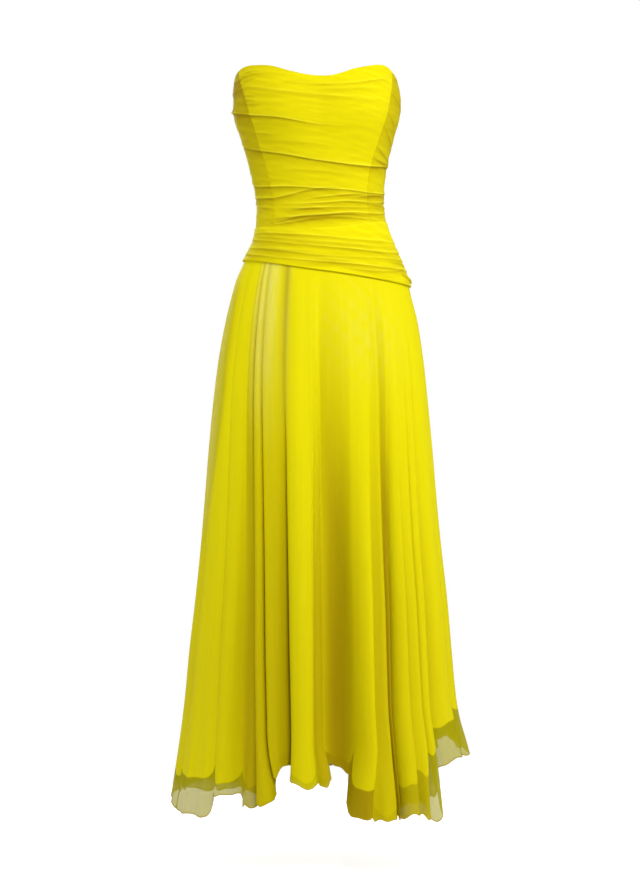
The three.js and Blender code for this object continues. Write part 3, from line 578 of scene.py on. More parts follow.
def drape_rows(az, top_of, bottom_of, folds, step):
    """Heights of the rows of a draped panel, top to bottom, over the azimuths: a cluster of rows
    follows each fold, and even rows fill the spans between. How many fill each span is settled
    over the whole reach of the folds, so that it is the same for any azimuths."""
    reach = np.linspace(folds[0]["az"][0], folds[0]["az"][-1], REACH_STEPS)
    az = np.concatenate([reach, az])
    top, bottom = top_of(az), bottom_of(az)

    def filled(first, until, least):
        gap = np.maximum(first - until, 0.6)
        count = max(least, int(np.ceil(np.max(gap[:REACH_STEPS]) / step)))
        return [first - gap * i / count for i in range(1, count + 1)]

    zs = [top, top - 0.5, top - 1.4]
    for fold in folds:
        edge, _ = ridge_line(fold, az)
        zs += filled(zs[-1], edge + FOLD_ROWS_AT[0], 2)[:-1]
        squeeze = np.clip((zs[-1] - edge) / (FOLD_ROWS_AT[0] + 0.6), 0.05, 1)
        zs += [edge + (rise * squeeze if rise > 0 else rise) for rise in FOLD_ROWS_AT]
    zs += filled(zs[-1], bottom + 1.6, 3)
    zs += [bottom + rise for rise in (0.9, 0.35, 0.0)]
    return np.array(zs)[:, REACH_STEPS:]


def draped_panel(name, columns, az_at, rows_at, folds, base, seed, turned, seam, relief,
                 material):
    """A draped wall: rows that follow its folds, put on the gown's form, with the relief of the
    folds, creases and crinkles on the outer face, and masks of painted highlight and painted shade.
    The inner face stays plain. base is the lift at the upper and lower edge and between, turned
    says how much painted shade a side panel gets, seam how much painted highlight its upper edge
    gets, and relief how strongly the folds stand out."""
    u = np.linspace(0, 1, columns + 1)
    az = np.broadcast_to(az_at(u, 0.0), u.shape)
    z = rows_at(az)
    for _ in range(2):  # a slanting edge's azimuths and its rows' heights settle together
        az = np.array([az_at(u, row) for row in z])
        z = np.array([rows_at(row_az)[r] for r, row_az in enumerate(az)])
    top_lift, low_lift, middle = base
    lift, crest, hollow = drape_relief(folds, az, z)
    from_top, from_low = z[0] - z, z - z[-1]
    edge = np.clip(np.minimum(from_top, from_low) / 5, 0, 1)
    rim = np.clip(np.minimum(from_top, from_low) / 1.4, 0, 1) ** 0.5
    crest, hollow = crest * relief / FULL_RELIEF, hollow * relief / FULL_RELIEF
    rest = middle + (top_lift - middle) * np.exp(-from_top / 6)
    rest = rest + (low_lift - middle) * np.exp(-from_low / 9)
    puckers = crinkle(az, z, seed, 0.06)
    lift = rest * (0.3 + 0.7 * rim) + (relief * lift + puckers) * edge
    outer = form_point(az, z, BODICE_WALL + np.maximum(lift, -0.6))
    inner = form_point(az, z, np.full(z.shape, 0.1))
    # Painted shade: the hollows under the ridges, the crinkles' low sides, a faint even amount and a
    # broad patch on the left of the front. Painted highlight: the ridges, the crinkles' high sides and
    # the upper edge. turned: painted shade on the side panels, darker towards the top, fading round the
    # back.
    masks = {
        "hollow": np.clip(hollow * edge + 0.06 - 0.5 * puckers
                          + 0.15 * np.exp(-((az + 50) / 38) ** 2), 0, 1.3),
        "crest": np.clip(crest * edge + 0.5 * puckers + seam * np.exp(-from_top / 2), 0, 1.2),
        "turned": (turned * np.clip((z + 60) / 210, 0.25, 1.25)
                   * (1 - 0.9 * ease((np.abs(az) - 92) / 46))),
    }
    return shell_object(name, open_seams(outer, SEAM_GAP), open_seams(inner, SEAM_GAP),
                        cloth_uv(outer), masks, material)


def back_line(across, z, out):
    """Points beside the centre back: across it to the right of a viewer behind, at a height, and
    moved out from the form."""
    return form_point(180 + across * 0.55, z, out)


def zip_tape(material):
    """Tape behind the centre-back opening: a flat strip that follows the form down the back."""
    z = np.linspace(ZIP["top"], ZIP["low"], 90)[:, None]
    across = np.linspace(-ZIP["half"], ZIP["half"], 13)[None, :]
    z, across = np.broadcast_arrays(z, across)
    outer = back_line(across, z, np.full(z.shape, -ZIP["behind"]))
    inner = back_line(across, z, np.full(z.shape, -ZIP["behind"] - ZIP["tape"]))
    # The tape gets an even painted shade, as it lies inside the opening.
    masks = {"hollow": np.full(z.shape, 0.2)}
    return shell_object("zip_tape", outer, inner, cloth_uv(outer), masks, material)


def zip_coil(material):
    """Coil of the zip on the tape's inner face: a wire that winds down the back as a flattened
    spiral, six-sided, with closed ends."""
    top = ZIP["top"] - ZIP["stop"]
    turns = (top - ZIP["low"]) / ZIP["pitch"]
    steps = int(turns * 8)
    turn = np.arange(steps + 1) / 8 * 2 * np.pi
    z = top - turn / (2 * np.pi) * ZIP["pitch"]
    across = ZIP["reach"] * np.cos(turn)
    deep = -ZIP["behind"] - ZIP["tape"] - 1.1 + 0.7 * np.sin(turn)
    middle = back_line(across, z, deep)
    along = np.gradient(middle, axis=0)
    along /= np.linalg.norm(along, axis=-1, keepdims=True)
    side = np.cross(along, np.array([0.0, 0.0, 1.0]))
    side /= np.linalg.norm(side, axis=-1, keepdims=True)
    up = np.cross(side, along)
    ring = np.arange(6) / 6 * 2 * np.pi
    points = (middle[:, None] + ZIP["wire"] * (side[:, None] * np.cos(ring)[None, :, None]
              + up[:, None] * np.sin(ring)[None, :, None]))
    ids = np.arange(points.shape[0] * 6).reshape(-1, 6)
    nxt = np.roll(ids, -1, axis=1)
    faces = np.stack([ids[:-1], ids[1:], nxt[1:], nxt[:-1]], -1).reshape(-1, 4).tolist()
    mesh = bpy.data.meshes.new("zip_coil")
    caps = [ids[0].tolist(), ids[-1][::-1].tolist()]
    mesh.from_pydata((points.reshape(-1, 3) * 0.001).tolist(), [], faces + caps)
    mesh.polygons.foreach_set("use_smooth", np.ones(len(mesh.polygons), bool))
    return placed("zip_coil", mesh, material)


# ------------------------------------------------------------------ skirt

def following(name):
    """A fold column for the fold after each one, carried on past a full turn."""
    values = np.roll(FOLDS[name], -1)
    if name in ("hem", "top"):
        values[-1] += 360
    return values


def hem_height(layer, k, u):
    """Hem height of a layer at share u of fold k: level over the crest, and turning to the
    neighbour's height in the crease, where it is notched up, with small waves and the fold's slant.
    The lining's hem ends in round tongues."""
    away = 2 * u - 1
    notch = np.where(away < 0, FOLDS["notch"][k], following("notch")[k])
    round_off, power = (24.0, 3) if layer == "lining" else (3.0, 7)
    near = np.where(away < 0, np.roll(FOLDS[layer], 1)[k], np.roll(FOLDS[layer], -1)[k])
    own = FOLDS[layer][k]
    ripple = 4.2 * np.sin(2.7 * k + 5.3 * u) + 2.4 * np.sin(1.9 * k + 12 * u)
    waves = (ripple + FOLDS["slant"][k] * (u - 0.5)) * (1 - away**4)
    tongue = round_off * (1 - np.sqrt(1 - 0.97 * away**2)) / 0.83
    return own + (near - own) * 0.5 * np.abs(away) ** power + notch * away**4 + tongue + waves


def crease_depth(k, drop, after=False):
    """Depth of a crease at a drop below the yoke: the gathers fade in, the fold grows."""
    pick = following if after else FOLDS.__getitem__
    gather, depth, start = pick("gather")[k], pick("depth")[k], pick("start")[k]
    grown = np.maximum(0, (np.maximum(0, drop) / SKIRT_RUN - start) / (1 - start)) ** 0.95
    return gather * ease(drop / 30) + (depth - gather) * grown


def fold_arch(k, u):
    """Rise of the cloth across fold k: the sine of a share that is bent to put the crest in its
    place, rounded at the creases and flattened on top."""
    place = FOLDS["crest"][k]
    bent = u ** (np.log(0.5) / np.log(place))
    soft = mix(FOLDS["soft"][k], following("soft")[k], u)
    g = (np.hypot(np.sin(np.pi * bent), soft) - soft) / (np.hypot(1, soft) - soft)
    return g ** 0.8


def skirt_point(layer, k, u, drop):
    """Point of a skirt layer on fold k at share u of its width: the arch of the fold over a
    placing that gathers its walls under the crest, as round a half ellipse."""
    t = np.maximum(0, drop) / SKIRT_RUN
    tube = FOLDS["tube"][k] * LAYER_HANG[layer]["tube"]
    round_wall = 0.5 - 0.5 * np.cos(np.pi * u)
    placed = mix(u, round_wall, tube * ease(t * 2.2))
    tip = ease((drop - HEM_TIP["from"]) / HEM_TIP["over"])
    az = mix(mix(FOLDS["top"][k], FOLDS["hem"][k], t) + FOLDS["flare"][k] * tip,
             mix(following("top")[k], following("hem")[k], t) + following("flare")[k] * tip, placed)
    rad = np.radians(az)
    own = LAYER_HANG[layer]["phase"]
    az = az + (0.55 * np.sin(21 * rad + 3 * own) + 0.3 * np.sin(38 * rad + own)) * tip
    z = yoke_low(az) - drop
    depth = mix(crease_depth(k, drop), crease_depth(k, drop, after=True), u)
    g = fold_arch(k, u)
    out = FOLDS["rise"][k] * g * ease(t * 1.2) - depth * (1 - g)
    inset = curve_through(LAYER_INSETS, "drop", layer, drop)
    if layer != "overlay":
        inset = inset + side_clearance(az, z)
    x, y = section_point(az, z)
    nx, ny = section_normal(az, z)
    move = out - inset + cloth_waver(layer, az, drop)
    return np.stack([x + nx * move, y + ny * move, z], -1), az, g


def side_clearance(az, z):
    """How far the overlay swings clear of the layers below it down the left side."""
    beside = np.exp(-(wrapped(az + 92) / 16) ** 2)
    return curve_through(SIDE_CLEARANCE, "z", "clear", z) * beside


def cloth_waver(layer, az, drop):
    """Small waver of the hanging cloth: a few waves round the skirt that grow towards the hem,
    shared by the layers, with a little of its own for each."""
    grow = np.clip(drop / SKIRT_RUN, 0, 1.1)
    rad = np.radians(az)
    shared = 1.2 * np.sin(17 * rad + 3 * grow) + 0.7 * np.sin(29 * rad - 4 * grow + 1)
    own = LAYER_HANG[layer]["phase"]
    corner = np.exp(-(wrapped(az - 82) / 9) ** 2) * ease((drop - 760) / 90)
    flutter = np.clip((drop - 780) / 160, 0, 1) ** 1.5
    local = np.sin(34 * rad + own * 2) * 1.8 + np.sin(57 * rad + own * 5) * 1.1
    return shared * grow + local * flutter + (8 * corner if layer == "overlay" else 0)


def crease_shade(k, u, drop, g):
    """Painted shade of the skirt's folds, by how deep in a crease the cloth lies: dark at each crease
    and fading up the fold's walls, with set-back folds dark all over. It comes in where the fold
    starts and the creases open again near the hem, and the whole skirt is painted a little darker
    towards the hem, where less of the light from above reaches."""
    t = np.clip(drop / SKIRT_RUN, 0, 1.1)
    start = mix(FOLDS["start"][k], following("start")[k], u)
    grown = ease((t - start * 0.7) / 0.6)
    gathers = 0.5 * mix(FOLDS["gather"][k], following("gather")[k], u) / 2.4
    grown = np.maximum(grown, gathers * (1 - grown))
    dark = mix(FOLDS["dark"][k], following("dark")[k], ease(u * 2 - 0.5))
    wide = (following("hem")[k] - FOLDS["hem"][k]) * mix(2.3, 4.2, t)
    crease = np.exp(-((np.minimum(u, 1 - u) * wide / 3.2) ** 2))
    walls = (1 - g) ** 1.3
    floor = FOLDS["floor"][k] * np.sin(np.pi * u) ** 0.8 * ease((t - start * 0.7 + 0.1) / 0.55)
    # Painted shade: darker towards the hem, where less of the light from above reaches.
    lower = 0.26 * ease((drop - 200) / 600)
    opened = 1 - 0.5 * ease((t - 0.68) / 0.3)
    folded = dark * (0.55 * walls + 0.6 * crease) * grown * opened
    return np.clip(folded + floor + lower, 0, 1.2)


def below_lining(k, u, z):
    """1 below the lining's hem, 0 above it."""
    return ease((hem_height("lining", k, u) - z + 1.5) / 3)


def bare_share(layer, k, u, z):
    """Where a sheer ply has no lining behind it: below the lining's hem, as far as the fold's
    hem is a single ply."""
    if layer == "lining":
        return np.zeros(z.shape)
    return below_lining(k, u, z) * mix(FOLDS["sheer"][k], following("sheer")[k], ease(u * 4 - 3))


def side_edge(az, drop):
    """Degrees from the line down the left front where the overlay begins to swing clear."""
    return az - curve_through(SIDE_STRIP, "drop", "az", drop)


def clear_share(layer, az, drop):
    """The strip down the left side where the overlay swings clear and light comes through it."""
    if layer != "overlay":
        return np.zeros(drop.shape)
    az = wrapped(az)
    behind = 1 - ease((-94 - az) / 20)
    along = ease(drop / 90) * (1 - ease((drop - 380) / 220))
    return 0.8 * (1 - ease(side_edge(az, drop) / 1.6)) * behind * along


def side_shade(layer, az, drop):
    """Shadow on the cloth beside that strip: broad below the yoke and a thin line further down."""
    if layer != "overlay":
        return np.zeros(drop.shape)
    off = side_edge(wrapped(az), drop) - 0.8
    wide = np.where(off > 0, mix(7, 2.4, ease((drop - 60) / 190)), 0.9)
    return 0.42 * np.exp(-((off / wide) ** 2)) * ease(drop / 60) * (1 - ease((drop - 330) / 220))


def pale_share(az, drop):
    """Pale bands of the gathers below the yoke, where the light catches the chiffon: a wide and a
    narrow one on the left that fade down, and faint slanting ones on the right, along the bias."""
    fade = 1 - ease((drop - 60) / 300)
    left = np.exp(-((az + 36 - drop * 0.012) / 8.5) ** 4)
    middle = np.exp(-((az + 20.8 - drop * 0.008) / 2.4) ** 2)
    bias = 0.45 + 0.55 * np.sin((az * 2.6 - drop) / 4.4) * np.sin((az * 1.9 - drop) / 17)
    right = np.exp(-((az - 26) / 24) ** 2) * np.exp(-((drop - 100) / 80) ** 2) * bias
    return np.clip((left + 0.5 * middle) * fade + 0.36 * right, 0, 1)


def skirt_columns(first, last):
    """Fold and share of each column of a panel, from one side seam to the other."""
    ks, us = [], []
    k = first
    while True:
        width = following("hem")[k] - FOLDS["hem"][k]
        steps = 2 * max(6, int(round(width * 0.5)))
        start = steps // 2 if k == first else 0
        end = steps // 2 if k == last else steps - 1
        share = np.arange(start, end + 1) / steps
        ks.append(np.full(len(share), k))
        us.append(share)
        if k == last:
            return np.concatenate(ks), np.concatenate(us)
        k = (k + 1) % len(FOLD_ROWS)


def skirt_panel(name, layer, first, last, hem_ply, material):
    """A hanging ply: the points of skirt_point from the tuck to the hem, moved to both sides of
    the middle by PLY, which swells into a rolled hem along the last rows. Rows crowd round
    the lining's hem, where what shows through a sheer ply changes."""
    k, u = skirt_columns(first, last)
    _, az_low, _ = skirt_point(layer, k, u, np.full(len(k), SKIRT_RUN))
    hem = yoke_low(az_low) - hem_height(layer, k, u)
    low = hem - HEM_BEAD
    upper = [np.full(len(k), d) for d in TOP_ROWS]
    top = TOP_ROWS[-1]
    if layer == "lining":
        drops = upper + [mix(top, low, share) for share in np.linspace(0, 1, 72)[1:]]
    else:
        line = yoke_low(az_low) - hem_height("lining", k, u)
        line = np.minimum(line, low - 12)
        drops = upper + [mix(top, line - 5, share) for share in np.linspace(0, 1, 56)[1:]]
        drops += [line + step for step in (-3, -1, 1, 3, 5)]
        drops += [mix(line + 5, low, share) for share in np.linspace(0, 1, 15)[1:]]
    drops += [hem - rise for rise in ROLL["rise"]]
    drop = np.array(drops)
    grid, az, g = skirt_point(layer, k[None, :], u[None, :], drop)
    g = np.broadcast_to(g, drop.shape)
    n = grid_normals(grid)
    half = np.full(drop.shape, PLY)
    rolls = len(ROLL["rise"])
    half[-rolls:] = hem_ply * np.array(ROLL["swell"])[:, None]
    outer = open_seams(grid + n * half[..., None], SEAM_GAP)
    inner = open_seams(grid - n * half[..., None], SEAM_GAP)
    rolled = np.zeros(drop.shape)
    rolled[-rolls:] = 1
    # Painted shade: the creases and set-back folds, inside the hem's loops where a sheer ply hangs bare,
    # and beside the clear strip.
    shade = crease_shade(k[None, :], u[None, :], drop, g)
    if layer != "lining":
        shade = shade + below_lining(k[None, :], u[None, :], grid[..., 2]) * FOLDS["inside"][k]
    shade = shade + side_shade(layer, az, drop)
    masks = {"hollow": np.clip(shade, 0, 1.3), "hem": rolled,
             "bare": bare_share(layer, k[None, :], u[None, :], grid[..., 2]),
             "clear": clear_share(layer, az, drop),
             "pale": pale_share(az, drop)}
    return shell_object(name, outer, inner, cloth_uv(grid), masks, material)


# ------------------------------------------------------------------ shader groups and materials

def group_of(name, inputs, outputs):
    """A new shader node group with named float or colour sockets."""
    tree = bpy.data.node_groups.new(name, "ShaderNodeTree")
    for label, kind, default in inputs:
        socket = tree.interface.new_socket(label, in_out="INPUT", socket_type=kind)
        if default is not None:
            socket.default_value = default
    for label, kind in outputs:
        tree.interface.new_socket(label, in_out="OUTPUT", socket_type=kind)
    return tree, tree.nodes.new("NodeGroupInput"), tree.nodes.new("NodeGroupOutput")


def node(tree, kind, links=(), **settings):
    """A node with its settings, and links into it given as (socket, source socket or value)."""
    made = tree.nodes.new(kind)
    for name, value in settings.items():
        setattr(made, name, value)
    for socket, source in links:
        if hasattr(source, "links"):
            tree.links.new(source, made.inputs[socket])
        else:
            made.inputs[socket].default_value = source
    return made


def maths(tree, operation, *values, clamp=False):
    """Result of a Math node on its values, each a socket or a number."""
    return node(tree, "ShaderNodeMath", list(enumerate(values)), operation=operation,
                use_clamp=clamp).outputs[0]


def blend(tree, share, first, second):
    """Colour between two colours, each a socket or three numbers."""
    ends = [(place, colour if hasattr(colour, "links") else (*colour, 1))
            for place, colour in ((6, first), (7, second))]
    return node(tree, "ShaderNodeMix", [(0, share), *ends], data_type="RGBA").outputs[2]


def level(tree, share, first, second):
    """Number between two numbers, each a socket or a value."""
    return node(tree, "ShaderNodeMix", [(0, share), (2, first), (3, second)],
                data_type="FLOAT").outputs[0]


def new_material(name):
    """A material with its node tree and its Principled BSDF."""
    material = bpy.data.materials.new(name)
    material.use_nodes = True
    return material, material.node_tree, material.node_tree.nodes["Principled BSDF"]


def mask(tree, name):
    """One of the masks that shell_object puts on its points."""
    return node(tree, "ShaderNodeAttribute", attribute_name=name).outputs["Fac"]


def streaked(tree, across, along):
    """Streaks of the cloth with their numbers across it and along it."""
    return node(tree, "ShaderNodeGroup", [("Across", across), ("Along", along)],
                node_tree=streak_group())


def crepe_group():
    """Crepe surface of chiffon: fine grains from noise in the cloth's own measure, and a faint
    plain weave from two crossed waves. Puts out a height and a fine mask."""
    if "Crepe" in bpy.data.node_groups:
        return bpy.data.node_groups["Crepe"]
    tree, start, end = group_of(
        "Crepe",
        [("Grain", "NodeSocketFloat", 620.0), ("Weave", "NodeSocketFloat", 700.0)],
        [("Height", "NodeSocketFloat"), ("Mask", "NodeSocketFloat")],
    )
    uv = node(tree, "ShaderNodeUVMap", uv_map="cloth")
    grain = node(tree, "ShaderNodeTexNoise",
                 [("Vector", uv.outputs[0]), ("Scale", start.outputs["Grain"]), ("Detail", 2.0)])
    warp = node(tree, "ShaderNodeTexWave", [("Vector", uv.outputs[0]),
                ("Scale", start.outputs["Weave"]), ("Distortion", 0.6)], bands_direction="X")
    weft = node(tree, "ShaderNodeTexWave", [("Vector", uv.outputs[0]),
                ("Scale", start.outputs["Weave"]), ("Distortion", 0.6)], bands_direction="Y")
    weave = maths(tree, "MULTIPLY", warp.outputs["Fac"], weft.outputs["Fac"])
    tree.links.new(maths(tree, "ADD", weave, grain.outputs["Fac"]), end.inputs["Height"])
    tree.links.new(grain.outputs["Fac"], end.inputs["Mask"])
    return tree


def streak_group():
    """Long soft streaks of a bias-cut cloth: noise stretched along the hang or the drape, for
    colour and for a shallow height."""
    if "Cloth streaks" in bpy.data.node_groups:
        return bpy.data.node_groups["Cloth streaks"]
    tree, start, end = group_of(
        "Cloth streaks",
        [("Across", "NodeSocketFloat", 60.0), ("Along", "NodeSocketFloat", 6.0)],
        [("Height", "NodeSocketFloat"), ("Mask", "NodeSocketFloat")],
    )
    uv = node(tree, "ShaderNodeUVMap", uv_map="cloth")
    parts = node(tree, "ShaderNodeSeparateXYZ", [(0, uv.outputs[0])])
    x = maths(tree, "MULTIPLY", parts.outputs[0], start.outputs["Across"])
    y = maths(tree, "MULTIPLY", parts.outputs[1], start.outputs["Along"])
    stretched = node(tree, "ShaderNodeCombineXYZ", [(0, x), (1, y)])
    noise = node(tree, "ShaderNodeTexNoise",
                 [("Vector", stretched.outputs[0]), ("Scale", 1.0), ("Detail", 4.0)])
    tree.links.new(noise.outputs["Fac"], end.inputs["Height"])
    tree.links.new(noise.outputs["Fac"], end.inputs["Mask"])
    return tree


def cloth_material(name, bright, deep, along_drape, sheer=None, dim=(0.49, 0.435, 0.0)):
    """Silk chiffon: a painted highlight on the crests and painted shade in the hollows and on the side
    panels, with streaks along the drape, a painted sheen of pale wisps in the gathers, crepe grain
    and a soft sheen. A sheer ply covers fully where it lies over the lining; where it hangs bare it
    is dimmer and lets the ground through, and its rolled hem closes again. sheer is the cover of one
    bare face, and dim its colour. Where the overlay swings clear of the lining it lets light in, and
    lets the eye through only where it is seen nearly edge-on, where it is also painted paler."""
    material, tree, shader = new_material(name)
    streaks = streaked(tree, *((9.0, 170.0) if along_drape else (150.0, 4.0)))
    crepe = node(tree, "ShaderNodeGroup", node_tree=crepe_group())
    crest, bare, hem = mask(tree, "crest"), mask(tree, "bare"), mask(tree, "hem")
    contrast = 0.13 if along_drape else 0.14

    shade = maths(tree, "MULTIPLY_ADD", streaks.outputs["Mask"], contrast, -contrast * 0.4)
    # Painted shade from the hollows and the side panels' turned mask, less where the crest mask puts a
    # painted highlight.
    summed = maths(tree, "MULTIPLY_ADD", mask(tree, "hollow"), 0.9, shade)
    turned_shaded = maths(tree, "MULTIPLY_ADD", mask(tree, "turned"), 0.45, summed)
    lit = maths(tree, "MULTIPLY_ADD", crest, -0.25, turned_shaded, clamp=True)
    grained = maths(tree, "MULTIPLY_ADD", crepe.outputs["Mask"], 0.3, -0.11)
    toned = maths(tree, "ADD", lit, grained, clamp=True)

    # Painted highlight: the crests turn pale yellow.
    ridge_highlit = blend(tree, maths(tree, "MULTIPLY", crest, 0.6, clamp=True), bright,
                   (0.95, 0.88, 0.03))
    # Painted sheen: pale thread-like wisps where the pale mask says the light catches the gathers.
    sheen_streaks = node(tree, "ShaderNodeMapRange",
                   [("Value", streaked(tree, 420.0, 14.0).outputs["Mask"]), ("From Min", 0.4),
                    ("From Max", 0.68), ("To Min", 0.22), ("To Max", 0.95)])
    painted_sheen = maths(tree, "MULTIPLY", sheen_streaks.outputs[0], mask(tree, "pale"))
    sheened = blend(tree, painted_sheen, ridge_highlit, (0.9, 0.84, 0.2))
    colour = blend(tree, toned, sheened, deep)

    slant = node(tree, "ShaderNodeLayerWeight", [("Blend", 0.5)])
    edge_on = node(tree, "ShaderNodeMapRange", [("Value", slant.outputs["Facing"]),
                   ("From Min", 0.28), ("From Max", 0.44)])
    ray = node(tree, "ShaderNodeLightPath")
    passes = maths(tree, "MAXIMUM", edge_on.outputs[0], ray.outputs["Is Shadow Ray"])
    glimpse = maths(tree, "MULTIPLY", mask(tree, "clear"), passes)
    # Painted light: the clear strip is painted paler where seen edge-on, for its sheen and the light
    # coming through it.
    through = blend(tree, maths(tree, "MULTIPLY", glimpse, 0.85), colour, (1.0, 0.92, 0.04))
    thin = blend(tree, bare, through, dim)
    rolled = blend(tree, maths(tree, "MULTIPLY", hem, 0.65), thin, deep)

    height = maths(tree, "MULTIPLY_ADD", streaks.outputs["Height"], 3.0, crepe.outputs["Height"])
    bump = node(tree, "ShaderNodeBump", [("Height", height), ("Strength", 0.5),
                ("Distance", 0.0006)])
    tree.links.new(rolled, shader.inputs["Base Color"])
    tree.links.new(bump.outputs[0], shader.inputs["Normal"])
    shader.inputs["Roughness"].default_value = 0.6
    shader.inputs["Specular IOR Level"].default_value = 0.05
    shader.inputs["Sheen Weight"].default_value = 0.12
    shader.inputs["Sheen Roughness"].default_value = 0.45
    shader.inputs["Sheen Tint"].default_value = (1.0, 0.92, 0.0, 1)
    if sheer:
        lined = level(tree, bare, 0.93, sheer)
        cover = maths(tree, "MULTIPLY_ADD", glimpse, -0.58, lined)
        closed = maths(tree, "MULTIPLY_ADD", hem, 0.25, cover)
        holed = maths(tree, "MULTIPLY_ADD", crepe.outputs["Mask"], 0.1, closed, clamp=True)
        tree.links.new(holed, shader.inputs["Alpha"])
    return material


def zip_material(name, metallic):
    """Cloth-yellow enamel or nylon of the zip, with fine scuffs in its roughness and colour."""
    material, tree, shader = new_material(name)
    place = node(tree, "ShaderNodeTexCoord")
    scuff = node(tree, "ShaderNodeTexNoise", [("Vector", place.outputs["Object"]),
                 ("Scale", 900.0), ("Detail", 5.0)])
    colour = blend(tree, scuff.outputs["Fac"], (0.62, 0.52, 0.02), (0.5, 0.41, 0.02))
    rough = maths(tree, "MULTIPLY_ADD", scuff.outputs["Fac"], 0.25, 0.2)
    tree.links.new(colour, shader.inputs["Base Color"])
    tree.links.new(rough, shader.inputs["Roughness"])
    shader.inputs["Metallic"].default_value = metallic
    return material


def floor_material(colour):
    """Matt studio paper with the faintest mottling."""
    material, tree, shader = new_material("studio paper")
    place = node(tree, "ShaderNodeTexCoord")
    mottle = node(tree, "ShaderNodeTexNoise", [("Vector", place.outputs["Object"]),
                  ("Scale", 3.0)])
    darker = tuple(c * 0.985 for c in colour)
    tree.links.new(blend(tree, mottle.outputs["Fac"], colour, darker),
                   shader.inputs["Base Color"])
    shader.inputs["Roughness"].default_value = 0.9
    shader.inputs["Specular IOR Level"].default_value = 0.0
    ray = node(tree, "ShaderNodeLightPath")
    shader.inputs["Emission Color"].default_value = (1, 1, 1, 1)
    tree.links.new(maths(tree, "MULTIPLY", ray.outputs["Is Camera Ray"], 0.7),
                   shader.inputs["Emission Strength"])
    return material


# ------------------------------------------------------------------ settings

class ClothSettings(PropertyGroup):
    """Colours of the silks."""

    bodice: FloatVectorProperty(
        name="Bodice", description="Colour of the draped bodice", subtype="COLOR",
        default=(0.84, 0.74, 0.0), min=0, max=1)
    yoke: FloatVectorProperty(
        name="Yoke", description="Colour of the draped hip yoke", subtype="COLOR",
        default=(0.88, 0.78, 0.0), min=0, max=1)
    overlay: FloatVectorProperty(
        name="Overlay", description="Colour of the outer chiffon", subtype="COLOR",
        default=(0.85, 0.76, 0.0), min=0, max=1)
    underlay: FloatVectorProperty(
        name="Underlay", description="Colour of the inner chiffon", subtype="COLOR",
        default=(0.84, 0.75, 0.0), min=0, max=1)
    lining: FloatVectorProperty(
        name="Lining", description="Colour of the opaque lining", subtype="COLOR",
        default=(0.88, 0.78, 0.0), min=0, max=1)
    # The colour that the painted shade of the hollows and creases turns to; the rolled hems turn part
    # way to it as well.
    deep: FloatVectorProperty(
        name="Hollows", description="Colour that the hollows of the drape turn to",
        subtype="COLOR", default=(0.40, 0.282, 0.0), min=0, max=1)
    overlay_alpha: FloatProperty(
        name="Overlay cover", description="How much one face of the outer chiffon covers",
        default=0.55, min=0, max=1, subtype="FACTOR")
    underlay_alpha: FloatProperty(
        name="Underlay cover", description="How much one face of the inner chiffon covers",
        default=0.55, min=0, max=1, subtype="FACTOR")
    rolled_hem: FloatProperty(
        name="Rolled hem", description="Half thickness of the rolled hem",
        default=0.00075, min=0.0003, max=0.002, unit="LENGTH")


class StageSettings(PropertyGroup):
    """Floor, light and camera."""

    floor_height: FloatProperty(
        name="Floor height", description="Height of the floor", default=-1.17, unit="LENGTH")
    paper: FloatVectorProperty(
        name="Paper", description="Colour of the floor", subtype="COLOR",
        default=(0.7, 0.7, 0.7), min=0, max=1)
    key_power: FloatProperty(
        name="Key light", description="Power of the large front light", default=48.0,
        min=0, unit="POWER")
    right_power: FloatProperty(
        name="Right light", description="Power of the light on the right", default=45.0,
        min=0, unit="POWER")
    left_power: FloatProperty(
        name="Left light", description="Power of the light on the left", default=34.0,
        min=0, unit="POWER")
    back_power: FloatProperty(
        name="Back light", description="Power of the light behind the gown", default=68.0,
        min=0, unit="POWER")
    daylight: FloatProperty(
        name="Room light", description="Strength of the light from all round",
        default=0.42, min=0, max=2)


# ------------------------------------------------------------------ operators

def princess(side, z):
    """Azimuth of a princess line at a height."""
    return curve_through(PRINCESS, "z", side, z)


class GOWN_OT_bodice(Operator):
    """Makes the five draped panels of the bodice"""

    bl_idname = "gown.bodice"
    bl_label = "Bodice"

    def execute(self, context):
        cloth = context.scene.gown_cloth
        silk = cloth_material("bodice silk", tuple(cloth.bodice), tuple(cloth.deep), True)
        left, right = back_folds(BACK_FOLDS, "left"), back_folds(BACK_FOLDS, "right")
        low = SEAM_GAP / 2

        def rows_of(folds):
            return lambda az: drape_rows(az, neckline, lambda at: yoke_top(at) + low, folds, 1.5)

        # The last number says how much painted shade a panel gets as a side or back panel.
        panels = [
            ("front", 104, lambda u, z: mix(princess("left", z), princess("right", z), u),
             DRAPE_FOLDS, BODICE_CREASES, 11, 0.0),
            ("side_left", 38, lambda u, z: mix(-90.0, princess("left", z), u),
             DRAPE_FOLDS, BODICE_CREASES, 12, 1.0),
            ("side_right", 38, lambda u, z: mix(princess("right", z), 90.0, u),
             DRAPE_FOLDS, BODICE_CREASES, 13, 1.0),
            ("back_left", 62, lambda u, z: mix(-180.0, -90.0, u), left,
             left_creases(BACK_CREASES, 7), 14, 1.0),
            ("back_right", 62, lambda u, z: mix(90.0, 180.0, u), right, BACK_CREASES,
             15, 1.0),
        ]
        for part, columns, az_at, folds, creases, seed, turned in panels:
            panel = draped_panel("bodice_cloth_" + part, columns, az_at, rows_of(folds),
                                 folds + creases, (0.6, 0.3, 0.8), seed, turned, 0.0, 0.7, silk)
            settle(panel, "bodice_" + part)
        return {"FINISHED"}


